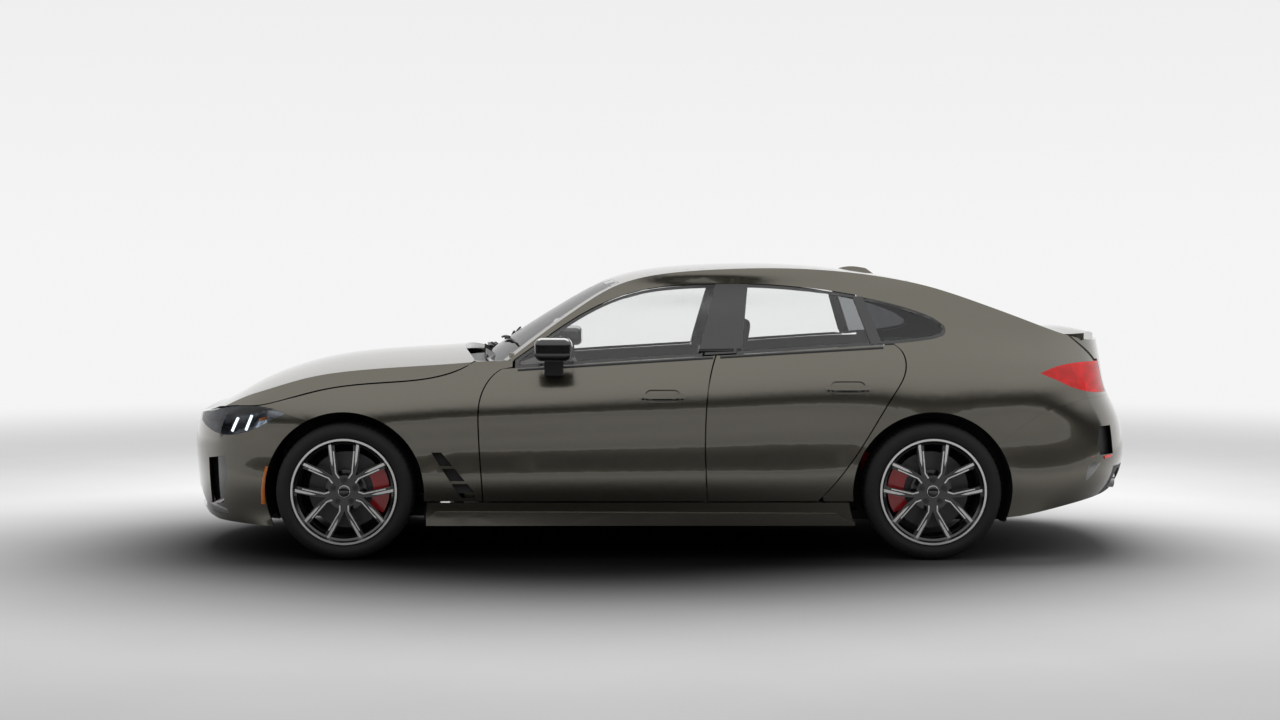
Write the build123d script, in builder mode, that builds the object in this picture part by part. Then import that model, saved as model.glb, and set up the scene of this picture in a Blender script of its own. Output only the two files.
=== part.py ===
from build123d import *
import math
import os

import numpy as np

# A four-door coupe, in millimetres. X points to the rear, Y to the car's right, Z up.
# The origin is on the ground below the middle of the overall length.

# Overall size and wheels
LENGTH = 4783.0
HEIGHT = 1442.0
WHEELBASE = 2856.0
FRONT_OVERHANG = 862.0
FRONT_TRACK = 1577.0
REAR_TRACK = 1586.0
TYRE_RADIUS = 334.0
TYRE_WIDTH = 245.0
RIM_FLANGE_RADIUS = 258.0
RIM_SEAT_RADIUS = 241.0
RIM_WIDTH = 238.0
SPOKE_PAIRS = 5
BEAD_HALF = 104.0
RIM_LIP = 110.0
WELL_RADIUS = 231.0
RIM_WALL = 11.0

FRONT_X = -LENGTH / 2
REAR_X = LENGTH / 2
FRONT_AXLE_X = FRONT_X + FRONT_OVERHANG
REAR_AXLE_X = FRONT_AXLE_X + WHEELBASE

# Walls, gaps and glass
SKIN = 22.0
BONNET_SKIN = 30.0
ROOF_SKIN = 35.0
DOOR_DEPTH = 85.0
DOOR_FLANGE = 7.0
DOOR_EDGE = 24.0
DOOR_RELIEF = 16.0
PILLAR_INSET = 122.0
PILLAR_DEPTH = 45.0
RAIL_DEPTH = 55.0
LAMP_DEPTH = 70.0
GLASS = 5.0
GLASS_SINK = 4.0
SHUT_GAP = 7.0
TAILGATE_GAP = 25.0
SWING_GAP = 10.0
SEAT_GAP = 0.3
PIN_FIT = 0.05
SURFACE_TOLERANCE = 0.2
FAR = 1200.0
COWL_DROP = 60.0
HANDLE_PROUD = 7.0
CUP_DEPTH = 16.0
SKIRT_PROUD = 12.0

# Underbody levels
FLOOR_Z = 165.0
FLOOR_DEPTH = 45.0
SILL_Z = 280.0

# Wheel openings
ARCH_RADIUS = 388.0
LINER_RADIUS = 402.0
LINER_SKIN = 8.0
FRONT_WELL_Y = 470.0
REAR_WELL_Y = 610.0

# Joints
HINGE_LEAD = 100.0
HINGE_INSET = 20.0
HINGE_PIN = 5.0
HINGE_ARM = 9.0
KINGPIN_OFFSET = 70.0
KINGPIN_RADIUS = 16.0

# Shut lines and panel edges in side view, from the top down
HALF_GAP = SHUT_GAP / 2
BONNET_LINE = [
    (-2450, 668), (-2330, 690), (-2200, 722), (-2080, 742), (-1965, 748), (-1800, 785), (-1630, 828),
    (-1350, 860), (-1100, 885), (-1000, 912), (-900, 965), (-840, 1060),
]
FRONT_SHUT = [(-768, 926), (-836, 862), (-870, 780), (-878, 665), (-872, 516), (-858, 286)]
CENTRE_SHUT = [(276, 992), (240, 850), (226, 700), (223, 527), (230, 334), (232, 286)]
REAR_SHUT = [
    (1146, 1043), (1192, 985), (1190, 910), (1140, 816), (1052, 670), (965, 527), (880, 410), (790, 305),
]
DOOR_BOTTOM = 286.0
WING_SPLIT = [(-1500, 640), (-1735, 688), (-1830, 722)]
REAR_BUMPER_LINE = [(2450, 770), (2300, 780), (2050, 770), (1900, 730), (1740, 640), (1640, 560)]

# Glass outlines in side view
FRONT_GLASS_TOP = [
    (-703, 968), (-487, 1120), (-362, 1197), (-240, 1255), (-112, 1296), (116, 1328), (304, 1336),
]
FRONT_GLASS_REAR = 208.0
REAR_GLASS_TOP = [(416, 1336), (560, 1330), (710, 1317), (850, 1300), (966, 1280)]
REAR_GLASS_FOOT = (376.0, 1046.0)
QUARTER_TOP = [(984, 1276), (1120, 1247), (1246, 1211), (1345, 1172)]
QUARTER_TIP = [(1390, 1140), (1402, 1110), (1386, 1086)]
QUARTER_FOOT = [(1340, 1072), (1200, 1054), (1066, 1046)]
GLASS_GAP = 5.0
QUARTER_MID = (1190.0, 1150.0)
QUARTER_FIT = 0.998

# Lamp outlines in side view
HEADLAMP = [
    [(-1812, 712), (-1880, 738), (-1965, 746), (-2080, 740), (-2200, 718), (-2300, 690)],
    [(-2300, 655), (-2235, 622), (-2130, 601), (-2047, 610), (-1960, 640), (-1880, 682)],
]
HEADLAMP_INNER_Y = 420.0
TAIL_LAMP = [
    [(1853, 905), (1950, 938), (2060, 952), (2450, 956)],
    [(2450, 812), (2200, 800), (2060, 822), (1950, 866)],
]
TAIL_LAMP_INNER_Y = 487.0

# Panel edges in plan, for the left half
BONNET_REAR = [(-880, -900), (-930, -620), (-985, -300), (-1000, 0)]
SCREEN_FOOT_X = -903.0
SCREEN_HEAD_X = -250.0
SCREEN_REACH = 900.0
ROOF_HALF = 530.0
ROOF_END = 1262.0
TAILGATE_SIDE = [(1262, -515), (1600, -565), (1950, -600), (2100, -585), (2180, -530)]
TAILGATE_TAIL = [(2210, -480), (2450, -480)]
REAR_WINDOW = [
    [(1322, 0), (1328, -300), (1345, -455)], [(1700, -505), (1975, -528)], [(2020, -300), (2030, 0)],
]
TAILGATE_FOOT_Z = 800.0
TAILGATE_SIDE_Z = 963.0
TAILGATE_DEPTH = 30.0

# Inner ring, its door apertures and the blocks that tie it to the outer frame, in side view
WING_TOP = 965.0
WING_TIP_X = -716.0
RING = [
    [(-960, 170)], [(960, 170)], [(1250, 500)], [(1250, 1075)], [(-740, 1000)], [(-860, 905)], [(-960, 830)],
]
FRONT_APERTURE = [[(-690, 370)], [(165, 370)], [(185, 900)], [(205, 1300)], [(-640, 1300)], [(-690, 900)]]
REAR_APERTURE = [
    [(440, 370)], [(775, 370)], [(900, 545)], [(1080, 830)], [(1120, 960)], [(1080, 1300)], [(385, 1300)],
]
BRIDGES = ((-735, -685, 975, 1000), (220, 364, 1000, 1060), (1202, 1245, 780, 1040))
SILL_FRONT = -1135.0
SILL_REAR = 962.0
COWL_FRONT = -1060.0
COWL_REAR = -700.0
COWL_FOOT = 900.0

# Front openings in front view, for the left half
GRILLE = [[(0, 372)], [(-290, 372)], [(-352, 430)], [(-372, 560)], [(-330, 650)], [(0, 660)]]
GRILLE_FRAME = 14.0
GRILLE_SLATS = 17
SLAT_PITCH = 42.0
SLAT_WIDTH = 9.0
GRILLE_DEPTH = 130.0
INTAKE_DEPTH = 210.0
GRILLE_BACK = FRONT_X + GRILLE_DEPTH
INTAKE_BACK = FRONT_X + INTAKE_DEPTH
INTAKE = [[(0, 205)], [(-470, 205)], [(-520, 240)], [(-440, 322)], [(0, 322)]]

# Corner openings of the front bumper and the plugs behind them, in side view
CORNER_INTAKE = [[(-2236, 478)], [(-2130, 498)], [(-2118, 420)], [(-2150, 262)], [(-2230, 244)]]
CORNER_PLUG = [[(-2250, 492)], [(-2114, 512)], [(-2102, 420)], [(-2142, 248)], [(-2244, 230)]]
CORNER_Y = 560.0
FRONT_BUMPER_FOOT = [[(-1500, 160)], [(-2200, 166)], [(-2340, 190)], [(-2450, 230)]]

# Vents in the front wings, with level bars across them
WING_VENT = [[(-1105, 525)], [(-1058, 525)], [(-896, 330)], [(-896, 302)], [(-962, 302)]]
VENT_BARS = (372.0, 446.0)
VENT_BAR = 14.0

# Door handles: a cup in the skin with a bar across it
HANDLES = {"front": (15.0, 798.0), "rear": (912.0, 839.0)}
HANDLE_SIZE = (228.0, 24.0)
CUP_SIZE = (172.0, 62.0)

# Skirts along the sills, in side view
SKIRT = [[(-1124, 205)], [(-1085, 232)], [(860, 224)], [(952, 182)], [(950, 166)], [(-1118, 166)]]

# Lid hinges
BONNET_AXIS = (-895.0, 945.0)
BONNET_HINGE_Y = 600.0
BONNET_LUG = 85.0
BONNET_RISE = 12.0
GATE_HINGE_Y = 150.0
GATE_LUG = 22.0
GATE_PIN = 4.0
GATE_ARM = 7.0
LUG_WIDTH = 24.0
ARM_GAP = 1.0
GATE_SET = (9.0, 8.0)
GATE_DROP = 8.0
COWL_HINGE_DROP = 30.0

# Door hinges: place along X and levels
HINGES = {"front": (-872 + HINGE_LEAD, (400, 700)), "rear": (226 + HINGE_LEAD, (440, 740))}
HINGE_LUG = 36.0
HINGE_CLEAR = 18.0

# Roof fin
FIN_BASE = 1374.0
FIN_X = 1034.0
FIN_SIZE = (112.0, 38.0)
FIN_TAPER = 22.0
FIN_SIDE = [
    [(880, 1370)], [(920, 1404), (960, 1418), (1001, 1424), (1050, 1421), (1088, 1414)], [(1150, 1370)],
]

# Tail pipes, diffuser and rear corners
PIPE_START = 2095.0
PIPE_END = 2275.0
PIPE_Y = 540.0
PIPE_Z = 365.0
PIPE_RADIUS = 46.0
PIPE_WALL = 4.0
PIPE_GAP = 8.0
DIFFUSER_HALF = 640.0
DIFFUSER_TOP = 435.0
BUMPER_EDGE = [[(1640, 198)], [(1760, 212)], [(2168, 288)], [(2450, 340)]]
REAR_BUMPER_FOOT = BUMPER_EDGE[1:] + [[(2450, 600)], [(1760, 600)]]
REAR_CORNER = [[(2250, 500)], [(2165, 500)], [(2150, 560)], [(2165, 640)], [(2235, 640)]]
REAR_PLUG = [[(2266, 486)], [(2152, 486)], [(2136, 560)], [(2154, 654)], [(2250, 654)]]

# Spoiler in plan
SPOILER_PLAN = [[(1940, 0), (1950, -300), (1995, -545)], [(2120, -560)], [(2215, -320), (2238, 0)]]

# Floor, bulkheads, luggage floor and wheel liners
FLOOR_TOP = FLOOR_Z + FLOOR_DEPTH
FLOOR_FRONT = -2150.0
FLOOR_REAR = 1720.0
FIREWALL = (-1010.0, -975.0)
BULKHEAD = (985.0, 1010.0)
LUGGAGE_FLOOR_Z = 560.0
LUGGAGE_HALF = 600.0
LUGGAGE_SHEET = 15.0
LINER_WALL_Z = 500.0
LINER_LAP = 10.0
LINER_TRIM = 1.0
TAIL_PANEL = (2165.0, 2190.0)
TAIL_PANEL_Z = (440.0, 770.0)

# Engine and front crossmember
MEMBER_FOOT = FLOOR_TOP + SEAT_GAP
CROSSMEMBER_TOP = 255.0
ENGINE_X = (-1930.0, -1170.0)
ENGINE_HALF = 250.0
ENGINE_TOP = 690.0
ENGINE_ROUND = 40.0
COVER_X = (-1880.0, -1220.0)
COVER_HALF = 190.0
COVER_TOP = 745.0

# Wheels
FRONT_WHEEL_Y = FRONT_TRACK / 2
REAR_WHEEL_Y = REAR_TRACK / 2
HUB_FACE = 30.0
HUB_TOP = 98.0
HUB_RADIUS = 78.0
STUB_RADIUS = 30.0
STUB_END = 62.0
STUB_BORE = 80.0
DISC_RADIUS = 187.0
DISC_LOW = -33.5
DISC_HIGH = -3.5
DISC_BORE = 88.0
BELL_RADIUS = 100.0
BELL_WALL = 10.0
RIM_HALF = RIM_WIDTH / 2
TYRE_HALF = TYRE_WIDTH / 2
TREAD_HALF = TYRE_HALF - 40
TYRE_SHOULDER = (TYRE_RADIUS - 18, TYRE_HALF - 9)
TYRE_BULGE = (TYRE_RADIUS - 48, TYRE_HALF)
TYRE_BEAD = (RIM_FLANGE_RADIUS - 1, RIM_LIP - 1)
RIM_OUTER = (
    (RIM_FLANGE_RADIUS, -RIM_HALF), (RIM_FLANGE_RADIUS, -RIM_LIP), (RIM_SEAT_RADIUS, -BEAD_HALF),
    (RIM_SEAT_RADIUS, -60), (WELL_RADIUS, -40), (WELL_RADIUS, 20), (RIM_SEAT_RADIUS, 50),
    (RIM_SEAT_RADIUS, BEAD_HALF), (RIM_FLANGE_RADIUS, RIM_LIP), (RIM_FLANGE_RADIUS, RIM_HALF),
)
RIM_INNER = (
    (RIM_FLANGE_RADIUS - 10, RIM_HALF), (RIM_SEAT_RADIUS - 1, RIM_LIP - 2), (RIM_SEAT_RADIUS - RIM_WALL, 100),
    (RIM_SEAT_RADIUS - RIM_WALL, 55), (WELL_RADIUS - RIM_WALL, 22), (WELL_RADIUS - RIM_WALL, -42),
    (RIM_SEAT_RADIUS - RIM_WALL, -65), (RIM_SEAT_RADIUS - RIM_WALL, -BEAD_HALF),
    (RIM_FLANGE_RADIUS - 12, -RIM_HALF),
)

# One spoke of a pair, beside the pair's middle line: its body and the two ridges on its face
SPOKE_LOW = 70.0
SPOKE_FACE = 98.0
RIDGE_FACE = 106.0
SPOKE_REACH = RIM_SEAT_RADIUS - 3
SPOKE_BODY = ((14, 62), (33, 92), (44, 200), (46, 236), (80, 234), (68, 128), (52, 62))
OUTER_RIDGE = ((76, 238), (62, 241), (54, 150), (55, 122), (64, 150))
INNER_RIDGE = ((53, 196), (47, 197), (36.5, 91), (20, 68), (26, 64), (42, 88))

# Uprights, brake calipers and arms
UPRIGHT_Y = (690.0, 745.0)
UPRIGHT_HALF = 40.0
LOWER_ARM = (215.0, 245.0)
UPPER_ARM = (425.0, 455.0)
BOSS_RADIUS = 60.0
BOSS_END = 772.0
CALIPER_INNER = 132.0
CALIPER_OUTER = 211.0
CALIPER_ANGLE = 32.0
CALIPER_Y = (712.0, 808.0)
CALIPER_SLOT = (749.0, 791.0)
CALIPER_GAP = 8.0
BRACKET_HALF = 40.0
BRACKET_LAP = 20.0
BRACKET_GAP = 4.0
KINGPIN_LAP = (2.0, 5.0)
TOWER_HALF = 40.0
CROSSMEMBER_HALF = 70.0
REAR_MEMBER_HALF = 60.0
REAR_MEMBER_END = 600.0
REAR_ARM_HALF = 35.0
REAR_ARM_START = 500.0
ARM_CLEAR = 0.5
TOWER_Y = (415.0, 460.0)
ARM_HALF = 26.0

# Cabin
SEAT_Y = 370.0
SEAT_WIDTH = 500.0
SEAT_SIDE = [
    [(-230, 330)], [(-250, 420), (-200, 455), (0, 440), (190, 420)], [(300, 700), (370, 985)],
    [(440, 990), (430, 860), (340, 540), (290, 330)],
]
HEADREST_SIDE = [[(355, 1010), (375, 1100), (395, 1170)], [(460, 1170), (470, 1090), (440, 1010)]]
HEADREST_WIDTH = 270.0
SEAT_BASE = (-180.0, 240.0)
SEAT_BASE_HALF = 180.0
SEAT_BASE_TOP = 360.0
HEADREST_POSTS = (395.0, 415.0)
HEADREST_POSTS_Z = (900.0, 1060.0)
HEADREST_POSTS_HALF = 60.0
BENCH_HALF = 590.0
BENCH_FOOT = FLOOR_TOP + SEAT_GAP
BENCH_SEAT = LUGGAGE_FLOOR_Z + SEAT_GAP
BENCH_REAR = BULKHEAD[0] - 1
BENCH_SIDE = [
    [(500, BENCH_FOOT)], [(500, 360), (530, 440), (600, 455), (880, 405)],
    [(960, 640), (1065, 960), (1120, 985)], [(1175, 960), (1090, 700), (1015, BENCH_SEAT)],
    [(BENCH_REAR, BENCH_SEAT)], [(BENCH_REAR, BENCH_FOOT)],
]
DASH_FRONT = FIREWALL[1] + SEAT_GAP
DASH_SIDE = [
    [(DASH_FRONT, 600)], [(DASH_FRONT, 840), (-860, 874), (-770, 890), (-690, 915), (-570, 925)],
    [(-525, 880), (-560, 770), (-660, 600)],
]
DASH_HALF = 680.0
CONSOLE_X = (-690.0, 330.0)
CONSOLE_HALF = 115.0
CONSOLE_TOP = 625.0
STEERING_PLACE = (-420.0, 900.0)
STEERING_TILT = -115.0
STEERING_RADIUS = 172.0
STEERING_GRIP = 15.0
STEERING_HUB = (62.0, 40.0)
STEERING_SPOKES = (30.0, 330.0, 16.0)
STEERING_COLUMN = (26.0, 240.0)

# Door mirrors and silencer
MIRROR_X = (-600.0, -420.0)
MIRROR_Y = (890.0, 1045.0)
MIRROR_Z = (972.0, 1084.0)
MIRROR_ROUND = 38.0
MIRROR_FOOT_X = (-555.0, -465.0)
MIRROR_FOOT_Y = (780.0, 930.0)
MIRROR_FOOT_Z = (900.0, 985.0)
SILENCER = (1760.0, 2100.0, -580.0, 580.0, 330.0, LUGGAGE_FLOOR_Z - LUGGAGE_SHEET - SEAT_GAP)


def curve(*knots):
    """A smooth line through (place, value) knots, straight beyond its ends."""
    place = np.array([k[0] for k in knots], float)
    value = np.array([k[1] for k in knots], float)
    count = len(place)
    step = np.diff(place)
    matrix = np.eye(count)
    right = np.zeros(count)
    for i in range(1, count - 1):
        matrix[i, i - 1 : i + 2] = step[i - 1], 2 * (step[i - 1] + step[i]), step[i]
        right[i] = 3 * ((value[i + 1] - value[i]) / step[i] - (value[i] - value[i - 1]) / step[i - 1])
    bend = np.linalg.solve(matrix, right)
    cubic = np.diff(bend) / (3 * step)
    slope = np.diff(value) / step - step * (2 * bend[:-1] + bend[1:]) / 3
    end_slope = slope[-1] + 2 * bend[-2] * step[-1] + 3 * cubic[-1] * step[-1] ** 2

    def at(x):
        if x < place[0]:
            return float(value[0] + slope[0] * (x - place[0]))
        if x > place[-1]:
            return float(value[-1] + end_slope * (x - place[-1]))
        i = int(np.clip(np.searchsorted(place, x) - 1, 0, count - 2))
        u = x - place[i]
        return float(value[i] + slope[i] * u + bend[i] * u**2 + cubic[i] * u**3)

    return at


# Body lines. The section is the half width against height at mid length, where the belt is BELT_MID high.
BELT_MID = 974.0
belt = curve(
    (-1900, 872), (-768, 926), (0, 974), (600, 1011), (1150, 1043), (1500, 1035), (1900, 1000), (2300, 975),
)
section = curve(
    (120, 856), (200, 866), (280, 878), (350, 893), (420, 899), (500, 894), (590, 892), (660, 897),
    (720, 902), (790, 897), (860, 877), (920, 849), (974, 817), (1080, 761), (1200, 694), (1334, 612),
    (1450, 534),
)
plan_share = curve(
    (-2391, 0.955), (-1900, 0.985), (-1530, 0.998), (0, 1.0), (1330, 1.0), (1800, 0.982), (2391, 0.93),
)
cabin_taper = curve((-1500, 0), (-700, 4), (0, 0), (700, 4), (1200, 22), (1600, 48), (2000, 76), (2391, 95))
nose_x = curve(
    (120, -2285), (200, -2352), (300, -2376), (450, -2388), (560, -2391), (680, -2368), (800, -2325),
    (1450, -2180),
)
tail_x = curve(
    (120, 2170), (245, 2275), (330, 2345), (450, 2389), (560, 2391), (680, 2362), (800, 2305), (950, 2278),
    (1450, 2190),
)
roof_z = curve(
    (-1300, 690), (-1050, 880), (-870, 1000), (-690, 1120), (-493, 1242), (-283, 1353), (-131, 1399),
    (11, 1421), (240, 1437), (497, 1442), (845, 1424), (1100, 1389), (1280, 1349), (1454, 1293), (1700, 1203),
    (1979, 1105), (2130, 1072), (2300, 1056), (2460, 1050),
)
hood_z = curve(
    (-2460, 380), (-2400, 560), (-2350, 672), (-2256, 735), (-2081, 826), (-1861, 918), (-1672, 964),
    (-1435, 993), (-1011, 1020), (-850, 1032), (-500, 1050),
)
HOOD_CROWN = 0.11e-3
ROOF_CROWN = 0.07e-3
SCREEN_BOW = 0.18e-3
FLARE_REACH = 300.0
FLARE_Z = 600.0
FLARE_HEIGHT = 230.0
FLARES = ((FRONT_AXLE_X, 22.0), (REAR_AXLE_X, 26.0))

# Corner shapes in plan: share of the half width against the distance behind the nose or ahead of the tail.
NOSE_PLAN = ((0, 0), (0.30, 20), (0.56, 84), (0.76, 182), (0.90, 305))
TAIL_PLAN = ((0, 0), (0.32, 16), (0.58, 70), (0.78, 165), (0.91, 295))
SIDE_STATIONS = (-1880, -1700, -1530, -1330, -1080, -700, -200, 300, 800, 1100, 1330, 1560, 1800)
LEVELS = (120, 200, 280, 350, 420, 500, 590, 660, 730, 800, 870, 940, 1000, 1090, 1200, 1334, 1450)


def half_width(x, z):
    """The body side's distance from the middle plane."""
    edge = belt(x)
    if z <= SILL_Z:
        level = z
    elif z <= edge:
        level = SILL_Z + (z - SILL_Z) * (BELT_MID - SILL_Z) / (edge - SILL_Z)
    else:
        level = BELT_MID + z - edge
    above = float(np.clip((z - edge + 150) / 300, 0, 1))
    flare = sum(
        size * math.exp(-(((x - axle) / FLARE_REACH) ** 2) - ((z - FLARE_Z) / FLARE_HEIGHT) ** 2)
        for axle, size in FLARES
    )
    return section(level) * plan_share(x) + flare - cabin_taper(x) * above**2 * (3 - 2 * above)


def outline(z, inset):
    """The body's closed outline at one height, from the tail round the right side, nose and left side."""
    front = half_width(SIDE_STATIONS[0], z) - inset
    rear = half_width(SIDE_STATIONS[-1], z) - inset
    half = [(tail_x(z) - inset - back, share * rear) for share, back in TAIL_PLAN]
    half += [(x, half_width(x, z) - inset) for x in reversed(SIDE_STATIONS)]
    half += [(nose_x(z) + inset + back, share * front) for share, back in reversed(NOSE_PLAN)]
    return half + [(x, -y) for x, y in reversed(half[1:-1])]


def length_shares(z):
    """Shares of the outline's length at its points."""
    points = np.array(outline(z, 0.0) + outline(z, 0.0)[:1])
    reach = np.concatenate(([0.0], np.cumsum(np.linalg.norm(np.diff(points, axis=0), axis=1))))
    return [float(v) for v in reach / reach[-1]]


SHARES = length_shares(LEVELS[len(LEVELS) // 2])


def side_block(inset=0.0):
    """Everything inside the body's sides, nose and tail, moved in by inset."""
    with BuildPart() as block:
        for z in LEVELS:
            with BuildSketch(Plane.XY.offset(z)):
                with BuildLine():
                    add(Edge.make_spline(outline(z, inset), periodic=True, parameters=SHARES))
                make_face()
        loft()
    return block.part


def top_block(profile, start, end, crown, bow, drop):
    """Everything below a crowned top surface with the given profile on the middle plane."""
    rows = [
        [Vector(x, y, profile(x - bow * y * y) - crown * y * y - drop) for y in np.linspace(-1000, 1000, 11)]
        for x in np.linspace(start, end, 48)
    ]
    surface = Face.make_surface_from_array_of_points(rows, tol=SURFACE_TOLERANCE)
    with BuildPart() as block:
        extrude(to_extrude=surface, amount=2 * FAR, dir=(0, 0, -1))
    return block.part


def cabin_top(drop=0.0):
    return top_block(roof_z, -1300, 2460, ROOF_CROWN, SCREEN_BOW, drop)


def hood_top(drop=0.0):
    return top_block(hood_z, -2460, -500, HOOD_CROWN, 0.0, drop)


side_outer = side_block()
side_skin = side_block(SKIN)
side_flange = side_block(DOOR_FLANGE)
side_edge = side_block(DOOR_EDGE)
side_door = side_block(DOOR_DEPTH)
side_pillar = side_block(PILLAR_INSET)
side_cabin = side_block(PILLAR_INSET + PILLAR_DEPTH)
side_rail = side_block(RAIL_DEPTH)
side_cup = side_block(CUP_DEPTH)
side_handle = side_block(-HANDLE_PROUD)
side_skirt = side_block(-SKIRT_PROUD)
side_lamp = side_block(LAMP_DEPTH)
side_glass = side_block(GLASS_SINK)
side_glass_inner = side_block(GLASS_SINK + GLASS)
cabin_outer = cabin_top()
cabin_inner = cabin_top(ROOF_SKIN)
cabin_glass = cabin_top(GLASS_SINK)
cabin_glass_inner = cabin_top(GLASS_SINK + GLASS)
hood_outer = hood_top()
hood_inner = hood_top(BONNET_SKIN)
hood_lamp = hood_top(LAMP_DEPTH)
cowl_top = hood_top(COWL_DROP)
side_screen = side_block(RAIL_DEPTH + SEAT_GAP)
side_liner = side_block(SKIN + SEAT_GAP)
side_floor = side_block(PILLAR_INSET + PILLAR_DEPTH + SEAT_GAP)


def moved(points, dx, dz=0.0):
    return [(x + dx, z + dz) for x, z in points]


def run_edges(runs):
    """A closed line through runs of points: each run is smooth, and straight lines join the runs."""
    for run, following in zip(runs, runs[1:] + runs[:1]):
        if len(run) == 2:
            Line(run[0], run[1])
        elif len(run) > 2:
            Spline(*run)
        Line(run[-1], following[0])


def side_prism(*runs):
    """A prism over the left half of the car with an outline in side view."""
    with BuildPart() as prism:
        with BuildSketch(Plane.XZ):
            with BuildLine():
                run_edges(runs)
            make_face()
        extrude(amount=FAR)
    return prism.part


def across(runs, start, end):
    """A block with an outline in side view between two distances from the middle, on the left."""
    with BuildPart() as block:
        with BuildSketch(Plane.XZ.offset(start)):
            with BuildLine():
                run_edges(runs)
            make_face()
        extrude(amount=end - start)
    return block.part


def limits_box(x0, x1, y0, y1, z0, z1):
    """A box between limits along X, Y and Z."""
    with BuildPart() as block:
        with Locations(((x0 + x1) / 2, (y0 + y1) / 2, (z0 + z1) / 2)):
            Box(x1 - x0, y1 - y0, z1 - z0)
    return block.part


def side_slot(place, length, height):
    """A prism over the left half of the car with a level slot in side view."""
    with BuildPart() as prism:
        with BuildSketch(Plane.XZ):
            with Locations(place):
                SlotOverall(length, height)
        extrude(amount=FAR)
    return prism.part


def plan_prism(*runs):
    """A prism through the whole height with an outline in plan, given for the left half and mirrored."""
    with BuildPart() as prism:
        with BuildSketch(Plane.XY):
            with BuildLine():
                run_edges(runs)
            make_face()
            mirror(about=Plane.XZ)
        extrude(amount=2 * FAR)
    return prism.part


def front_prism(outline_runs, back, grow=0.0, slats=0):
    """A prism from the nose back, with an outline in front view, mirrored and cut by upright slats."""
    with BuildPart() as prism:
        with BuildSketch(Plane.YZ.offset(FRONT_X - GRILLE_FRAME)):
            with BuildLine():
                run_edges(outline_runs)
            make_face()
            mirror(about=Plane.YZ)
            if grow:
                offset(amount=grow, kind=Kind.INTERSECTION)
            if slats:
                with GridLocations(SLAT_PITCH, 1, slats, 1):
                    Rectangle(SLAT_WIDTH, 2 * HEIGHT, mode=Mode.SUBTRACT)
        extrude(amount=back - FRONT_X + GRILLE_FRAME)
    return prism.part


def belt_run(start, end, lift=0.0):
    return [(x, belt(x) + lift) for x in np.linspace(start, end, 4)]


# Panel edges in plan, for the left half
def bowed(x, reach):
    return [(x + SCREEN_BOW * y * y, y) for y in np.linspace(0, -reach, 4)]


# Shells
with BuildPart() as front_block:
    add(side_outer)
    add(hood_outer, mode=Mode.INTERSECT)
with BuildPart() as front_hollow:
    add(side_skin)
    add(hood_inner, mode=Mode.INTERSECT)
with BuildPart() as front_lamp_hollow:
    add(side_lamp)
    add(hood_lamp, mode=Mode.INTERSECT)
with BuildPart() as cabin_block:
    add(side_outer)
    add(cabin_outer, mode=Mode.INTERSECT)
with BuildPart() as cabin_hollow:
    add(side_rail)
    add(cabin_inner, mode=Mode.INTERSECT)

with BuildPart() as hollow_gate:
    add(side_block(TAILGATE_DEPTH))
    add(cabin_top(TAILGATE_DEPTH), mode=Mode.INTERSECT)
tailgate_hollow = hollow_gate.part

with BuildPart() as arches:
    for axle in (FRONT_AXLE_X, REAR_AXLE_X):
        with Locations(Location((axle, 0, TYRE_RADIUS), (90, 0, 0))):
            Cylinder(ARCH_RADIUS, 2 * FAR)
WELLS = ((FRONT_AXLE_X, FRONT_WELL_Y), (REAR_AXLE_X, REAR_WELL_Y))


def well_drums(radius, skin=0.0):
    """Drums over the four wheels, from the wells' inner walls outwards."""
    with BuildPart() as drums:
        for axle, inner in WELLS:
            for sign in (-1, 1):
                with Locations(Location((axle, sign * (inner - skin + FAR / 2), TYRE_RADIUS), (90, 0, 0))):
                    Cylinder(radius, FAR)
    return drums.part


with BuildPart() as wells:
    add(well_drums(LINER_RADIUS))
with BuildPart() as well_clear:
    add(well_drums(LINER_RADIUS + LINER_SKIN + SEAT_GAP, LINER_SKIN + SEAT_GAP))

head_lamp_prism = side_prism(*HEADLAMP)
tail_lamp_prism = side_prism(*TAIL_LAMP)
grille_prism = front_prism(GRILLE, GRILLE_BACK)
intake_prism = front_prism(INTAKE, INTAKE_BACK)

# Lids turn on pins across the car: a bored lug on the lid between two arms on the body
GATE_AXIS = (ROOF_END - GATE_SET[0], roof_z(ROOF_END - GATE_SET[0]) - GATE_SET[1])


def cross_lug(axis, side, reach, rise, arm, pin):
    """The lugs of a lid's two hinges, bored for the pins, reaching along X into the lid."""
    with BuildPart() as lug:
        with BuildSketch(Plane.XZ.offset(side - LUG_WIDTH / 2)):
            with Locations(axis):
                Circle(arm)
            with BuildLine():
                Polyline(
                    (axis[0], axis[1] - arm), (axis[0] + reach, axis[1] - arm + rise),
                    (axis[0] + reach, axis[1] + arm + rise), (axis[0], axis[1] + arm), close=True,
                )
            make_face()
            with Locations(axis):
                Circle(pin + PIN_FIT, mode=Mode.SUBTRACT)
        extrude(amount=LUG_WIDTH)
        mirror(about=Plane.XZ)
    return lug.part


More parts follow.
